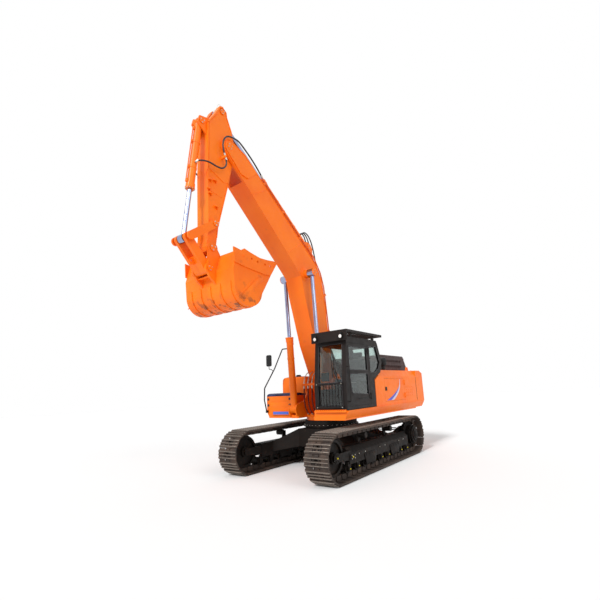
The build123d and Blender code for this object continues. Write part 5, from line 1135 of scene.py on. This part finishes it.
# boom: weld beads, plates round the lift boss, the hose bar under its belly, and bolts on the pipe clamps
boom = {"welds": ((0.95, 0.02, 0.42), (2.15, 0.42, 1.10), (3.75, 0.50, 1.12), (5.35, 0.12, 0.62)), "weldY": 0.251,
        "bead": 0.007, "boss": (3.0, 0.8), "bossRadius": 0.185, "bossY": (0.2495, 0.262), "barX": 0.80, "barZ": 2.06,
        "barY": (-0.31, 0.19), "stayY": (-0.20, 0.08), "clampY": 0.203, "clampRise": 0.149,
        "clamps": ((5.5, 0.6582), (4.7, 0.9122), (3.9, 1.1662), (2.15, 1.1943), (1.25, 0.690))}
circle = [(boom["bossRadius"] * math.cos(math.radians(a)), boom["bossRadius"] * math.sin(math.radians(a)))
          for a in range(0, 360, 15)]
bossOutline = [onBoom(boom["boss"][0] + a, boom["boss"][1] + b) for a, b in circle]
for side, sign in sides:
    for number, (u, low, high) in enumerate(boom["welds"], 1):
        line = [at(onBoom(a, b), sign * boom["weldY"]) for a, b in ((u, low), (u + 0.01, (low + high) / 2), (u, high))]
        tube("boomWeld" + side + str(number), line, boom["bead"], "orangeEnamel", "boom", 6)
    solidPiece("liftBossPlate" + side, "orangeEnamel", "boom",
               [(addPrism, bossOutline, *[sign * y for y in boom["bossY"]])], 0.004)
low, high = [(boom["barX"], y, boom["barZ"]) for y in boom["barY"]]
solidPiece("hoseBar", "orangeEnamel", "boom", [(addBar, low, high, 0.045, 0.05)] + [
    (addBar, (boom["barX"], y, boom["barZ"]), (0.50, y, 2.21), 0.05, 0.016, (0, 1, 0)) for y in boom["stayY"]], 0.004)
points = [at(onBoom(u, back + boom["clampRise"]), sign * boom["clampY"])
          for u, back in boom["clamps"] for sign in (-1, 1)]
turn = math.radians(place["boomAngle"])
addBolts("boom", "zincSteel", 0.011, points, Vector((-math.sin(turn), 0, math.cos(turn))))

# arm: step brackets on its left side, hose clamps and weld beads
arm = {"steps": ((4.33, 6.33), (4.20, 6.36), (4.36, 6.11), (4.32, 6.02), (4.16, 5.77), (4.27, 5.34)), "face": 0.1645,
       "stepHalf": 0.045, "clamp": (4.01, 6.98), "clampY": (0.1765, 0.279), "clampHalf": 0.025, "hoseY": 0.30,
       "welds": ((1.28, 0.26), (1.95, 0.16)), "weldY": 0.167, "bead": 0.006}
parts = []
for x, z in arm["steps"]:
    start = x - arm["stepHalf"]
    parts += [(addBox, (start, arm["face"], z - 0.012), (x + arm["stepHalf"], 0.222, z + 0.012)),
              (addBox, (start, arm["face"], z - 0.05), (x - 0.028, 0.21, z + 0.012))]
solidPiece("armSteps", "orangeEnamel", "arm", parts, 0.004)
for side, sign in sides:
    (x, z), (near, far), half = arm["clamp"], arm["clampY"], arm["clampHalf"]
    solidPiece("armHoseClamp" + side, "orangeEnamel", "arm", [
        (addBox, (x - half, sign * near, z - half), (x + half, sign * far, z + half)),
        (addTurned, [(0.026, -half), (0.026, half)], (x, sign * arm["hoseY"], z), (0.35, 0, 1), 24)], 0.003)
    for number, (p, top) in enumerate(arm["welds"], 1):
        line = [at(onArm(a, b), sign * arm["weldY"]) for a, b in ((p, -0.08), (p + 0.01, 0.06), (p, top))]
        tube("armWeld" + side + str(number), line, arm["bead"], "orangeEnamel", "arm", 6)

# bucket: side seam, bolted cutter and wear plates behind the lip; outlines are from the bucket's pin
bucket = {"weldY": 0.751, "weld": ((4.11, 3.72), (4.0, 3.81), (3.82, 3.98), (3.66, 4.16)), "bead": 0.008,
          "plateY": (0.7495, 0.762), "boltY": 0.776, "bolts": ((-0.32, -0.22), (-1.21, -0.22)),
          "plate": ((-0.90, -0.62), (-0.78, -0.70), (-0.40, -1.10), (-0.28, -1.06), (-0.34, -0.98), (-0.72, -0.60),
                    (-0.86, -0.54)),
          "shroud": (-1.243, -0.30), "shroudY": (-0.45, -0.15, 0.15, 0.45), "shroudHalf": 0.06}
pinX, pinZ = bucketPin
for side, sign in sides:
    line = [(x, sign * bucket["weldY"], z) for x, z in bucket["weld"]]
    tube("bucketWeld" + side, line, bucket["bead"], "bucketEnamel", "bucket", 6)
    outline = [(pinX + x, pinZ + z) for x, z in bucket["plate"]]
    solidPiece("bucketSidePlate" + side, "bucketEnamel", "bucket",
               [(addPrism, outline, *[sign * y for y in bucket["plateY"]])], 0.004)
    points = [(pinX + x, sign * bucket["boltY"], pinZ + z) for x, z in bucket["bolts"]]
    addBolts("bucket", "bucketEnamel", 0.018, points, (0, sign, 0))
x, z = pinX + bucket["shroud"][0], pinZ + bucket["shroud"][1]
solidPiece("lipShrouds", "bucketEnamel", "bucket", [
    (addBar, (x, y - bucket["shroudHalf"], z), (x, y + bucket["shroudHalf"], z), 0.012, 0.07)
    for y in bucket["shroudY"]], 0.004)

# cylinders: pipe along the barrel, straps, ports and gland with its bolts
cylinders = [
    # name, body, base, end, barrel length, barrel radius, y
    ("liftLeft", "boom_cylinder_barrels", place["liftBase"], liftPin, 1.87, 0.09, place["liftLane"]),
    ("liftRight", "boom_cylinder_barrels", place["liftBase"], liftPin, 1.87, 0.09, -place["liftLane"]),
    ("stick", "arm_cylinder_barrel", stickBase, stickPin, 2.16, 0.095, 0.0),
    ("curl", "bucket_cylinder_barrel", curlBase, place["knuckle"], 1.66, 0.08, 0.0),
]
barrel = {
    # rings are (past the barrel's radius, along it); ports are from the base and from the barrel's end
    "straps": (0.32, 0.70), "strap": ((0.0005, -0.02), (0.007, -0.02), (0.007, 0.02), (0.0005, 0.02), (0.0005, -0.02)),
    "gland": ((0.0125, -0.035), (0.020, -0.030), (0.020, -0.005), (0.0125, 0.0), (0.0125, -0.035)),
    "ports": (0.20, 0.16), "bends": (0.27, 0.24), "pipe": 0.013, "pipeLift": (0.02, 0.034, 0.035), "boltSize": 0.009,
}
for name, body, base, end, length, radius, y in cylinders:
    run = Vector((end[0] - base[0], 0, end[1] - base[1])).normalized()
    off = Vector((-run.z, 0, run.x))
    start = Vector(at(base, y))
    parts = []
    for share in barrel["straps"]:
        centre = start + run * length * share
        middle = centre + off * (radius + 0.015)
        parts += [(addTurned, [(radius + a, b) for a, b in barrel["strap"]], centre, run, 40),
                  (addBar, middle - run * 0.02, middle + run * 0.02, 0.05, 0.04, off)]
    ports, bends = [(first, length - last) for first, last in (barrel["ports"], barrel["bends"])]
    for reach in ports:
        middle = start + run * reach + off * (radius + 0.012)
        parts.append((addBar, middle - run * 0.035, middle + run * 0.035, 0.06, 0.045, off))
    parts.append((addTurned, [(radius + a, b) for a, b in barrel["gland"]], start + run * length, run, 40))
    solidPiece(name + "Straps", "orangeEnamel", body, parts, 0.003)
    low, middle, high = barrel["pipeLift"]
    line = [start + run * reach + off * (radius + lift) for reach, lift in (
        (ports[0], low), (ports[0], middle), (bends[0], high), (bends[1], high), (ports[1], middle), (ports[1], low))]
    tube(name + "Pipe", line, barrel["pipe"], "orangeTube", body)
    boltRing(body, "zincSteel", barrel["boltSize"], start + run * (length + 0.003), run, radius + 0.004, 10)
print("front dressed")

# ferrules and nuts at the hoses' ends, one piece for each body; sizes are shares of the hose's radius
ferrule = {"nut": ((1.35, 0.0), (1.35, 1.3)), "sleeve": ((1.15, 1.3), (1.28, 1.5), (1.28, 4.2), (1.08, 4.4))}
for body, found in ends.items():
    parts = [(addTurned, [(radius * a, radius * b) for a, b in ferrule[key]], point, out, count)
             for point, out, radius in found for key, count in (("nut", 6), ("sleeve", 16))]
    solidPiece("ferrules_" + body, "zincSteel", body, parts)
for (body, kind, size), found in boltSets.items():
    name = "bolts_%s_%s_%d" % (body, kind, round(size * 1000))
    bolts(name, [point for point, facing in found], [facing for point, facing in found], size, kind, body)
print("bolts and ferrules made")

# plain pale floor and soft studio light
stage = {"floorHalf": 60.0, "floorColor": "#FAFAFA", "keyEnergy": 2.4, "keyAngle": 12.0, "keyAim": (-0.80, -0.04, -0.60),
         "fillEnergy": 0.85, "fillAngle": 40.0, "fillAim": (-0.2, -0.9, -0.4), "worldStrength": 0.50}
world = bpy.data.worlds.new("studio")
world.use_nodes = True
bpy.context.scene.world = world
sky = world.node_tree
sky.nodes.clear()
ray = addNode(sky, "ShaderNodeLightPath", give=None).outputs
seen = addNode(sky, "ShaderNodeMath", {0: ray["Is Camera Ray"], 1: ray["Is Transmission Ray"]}, operation="MAXIMUM")
seen = addNode(sky, "ShaderNodeMath", {0: seen, 1: ray["Is Glossy Ray"]}, operation="MAXIMUM")
soft, white = [addNode(sky, "ShaderNodeBackground", {"Color": (1, 1, 1, 1), "Strength": strength})
               for strength in (stage["worldStrength"], 1.0)]
mixed = addNode(sky, "ShaderNodeMixShader", {0: seen, 1: soft, 2: white})
addNode(sky, "ShaderNodeOutputWorld", {"Surface": mixed}, None)

# matt studio floor, white to the eye, so that only the shadow shows
floorShape = bmesh.new()
bmesh.ops.create_grid(floorShape, x_segments=1, y_segments=1, size=stage["floorHalf"])
floor = fromBmesh("studioFloor", floorShape, smooth=False)
material = newMaterial("studioFloor")[0]
floor.data.materials.append(shaded(material, {"Base Color": linearColor(stage["floorColor"]), "Roughness": 0.95}))


def sun(name, energy, angle, aim):
    light = bpy.data.lights.new(name, "SUN")
    light.energy, light.angle = energy, math.radians(angle)
    holder = bpy.data.objects.new(name, light)
    bpy.context.scene.collection.objects.link(holder)
    holder.rotation_euler = Vector(aim).to_track_quat("-Z", "Y").to_euler()


sun("keySun", stage["keyEnergy"], stage["keyAngle"], stage["keyAim"])
sun("fillSun", stage["fillEnergy"], stage["fillAngle"], stage["fillAim"])
bpy.context.scene.view_settings.view_transform = "Standard"
print("stage made")
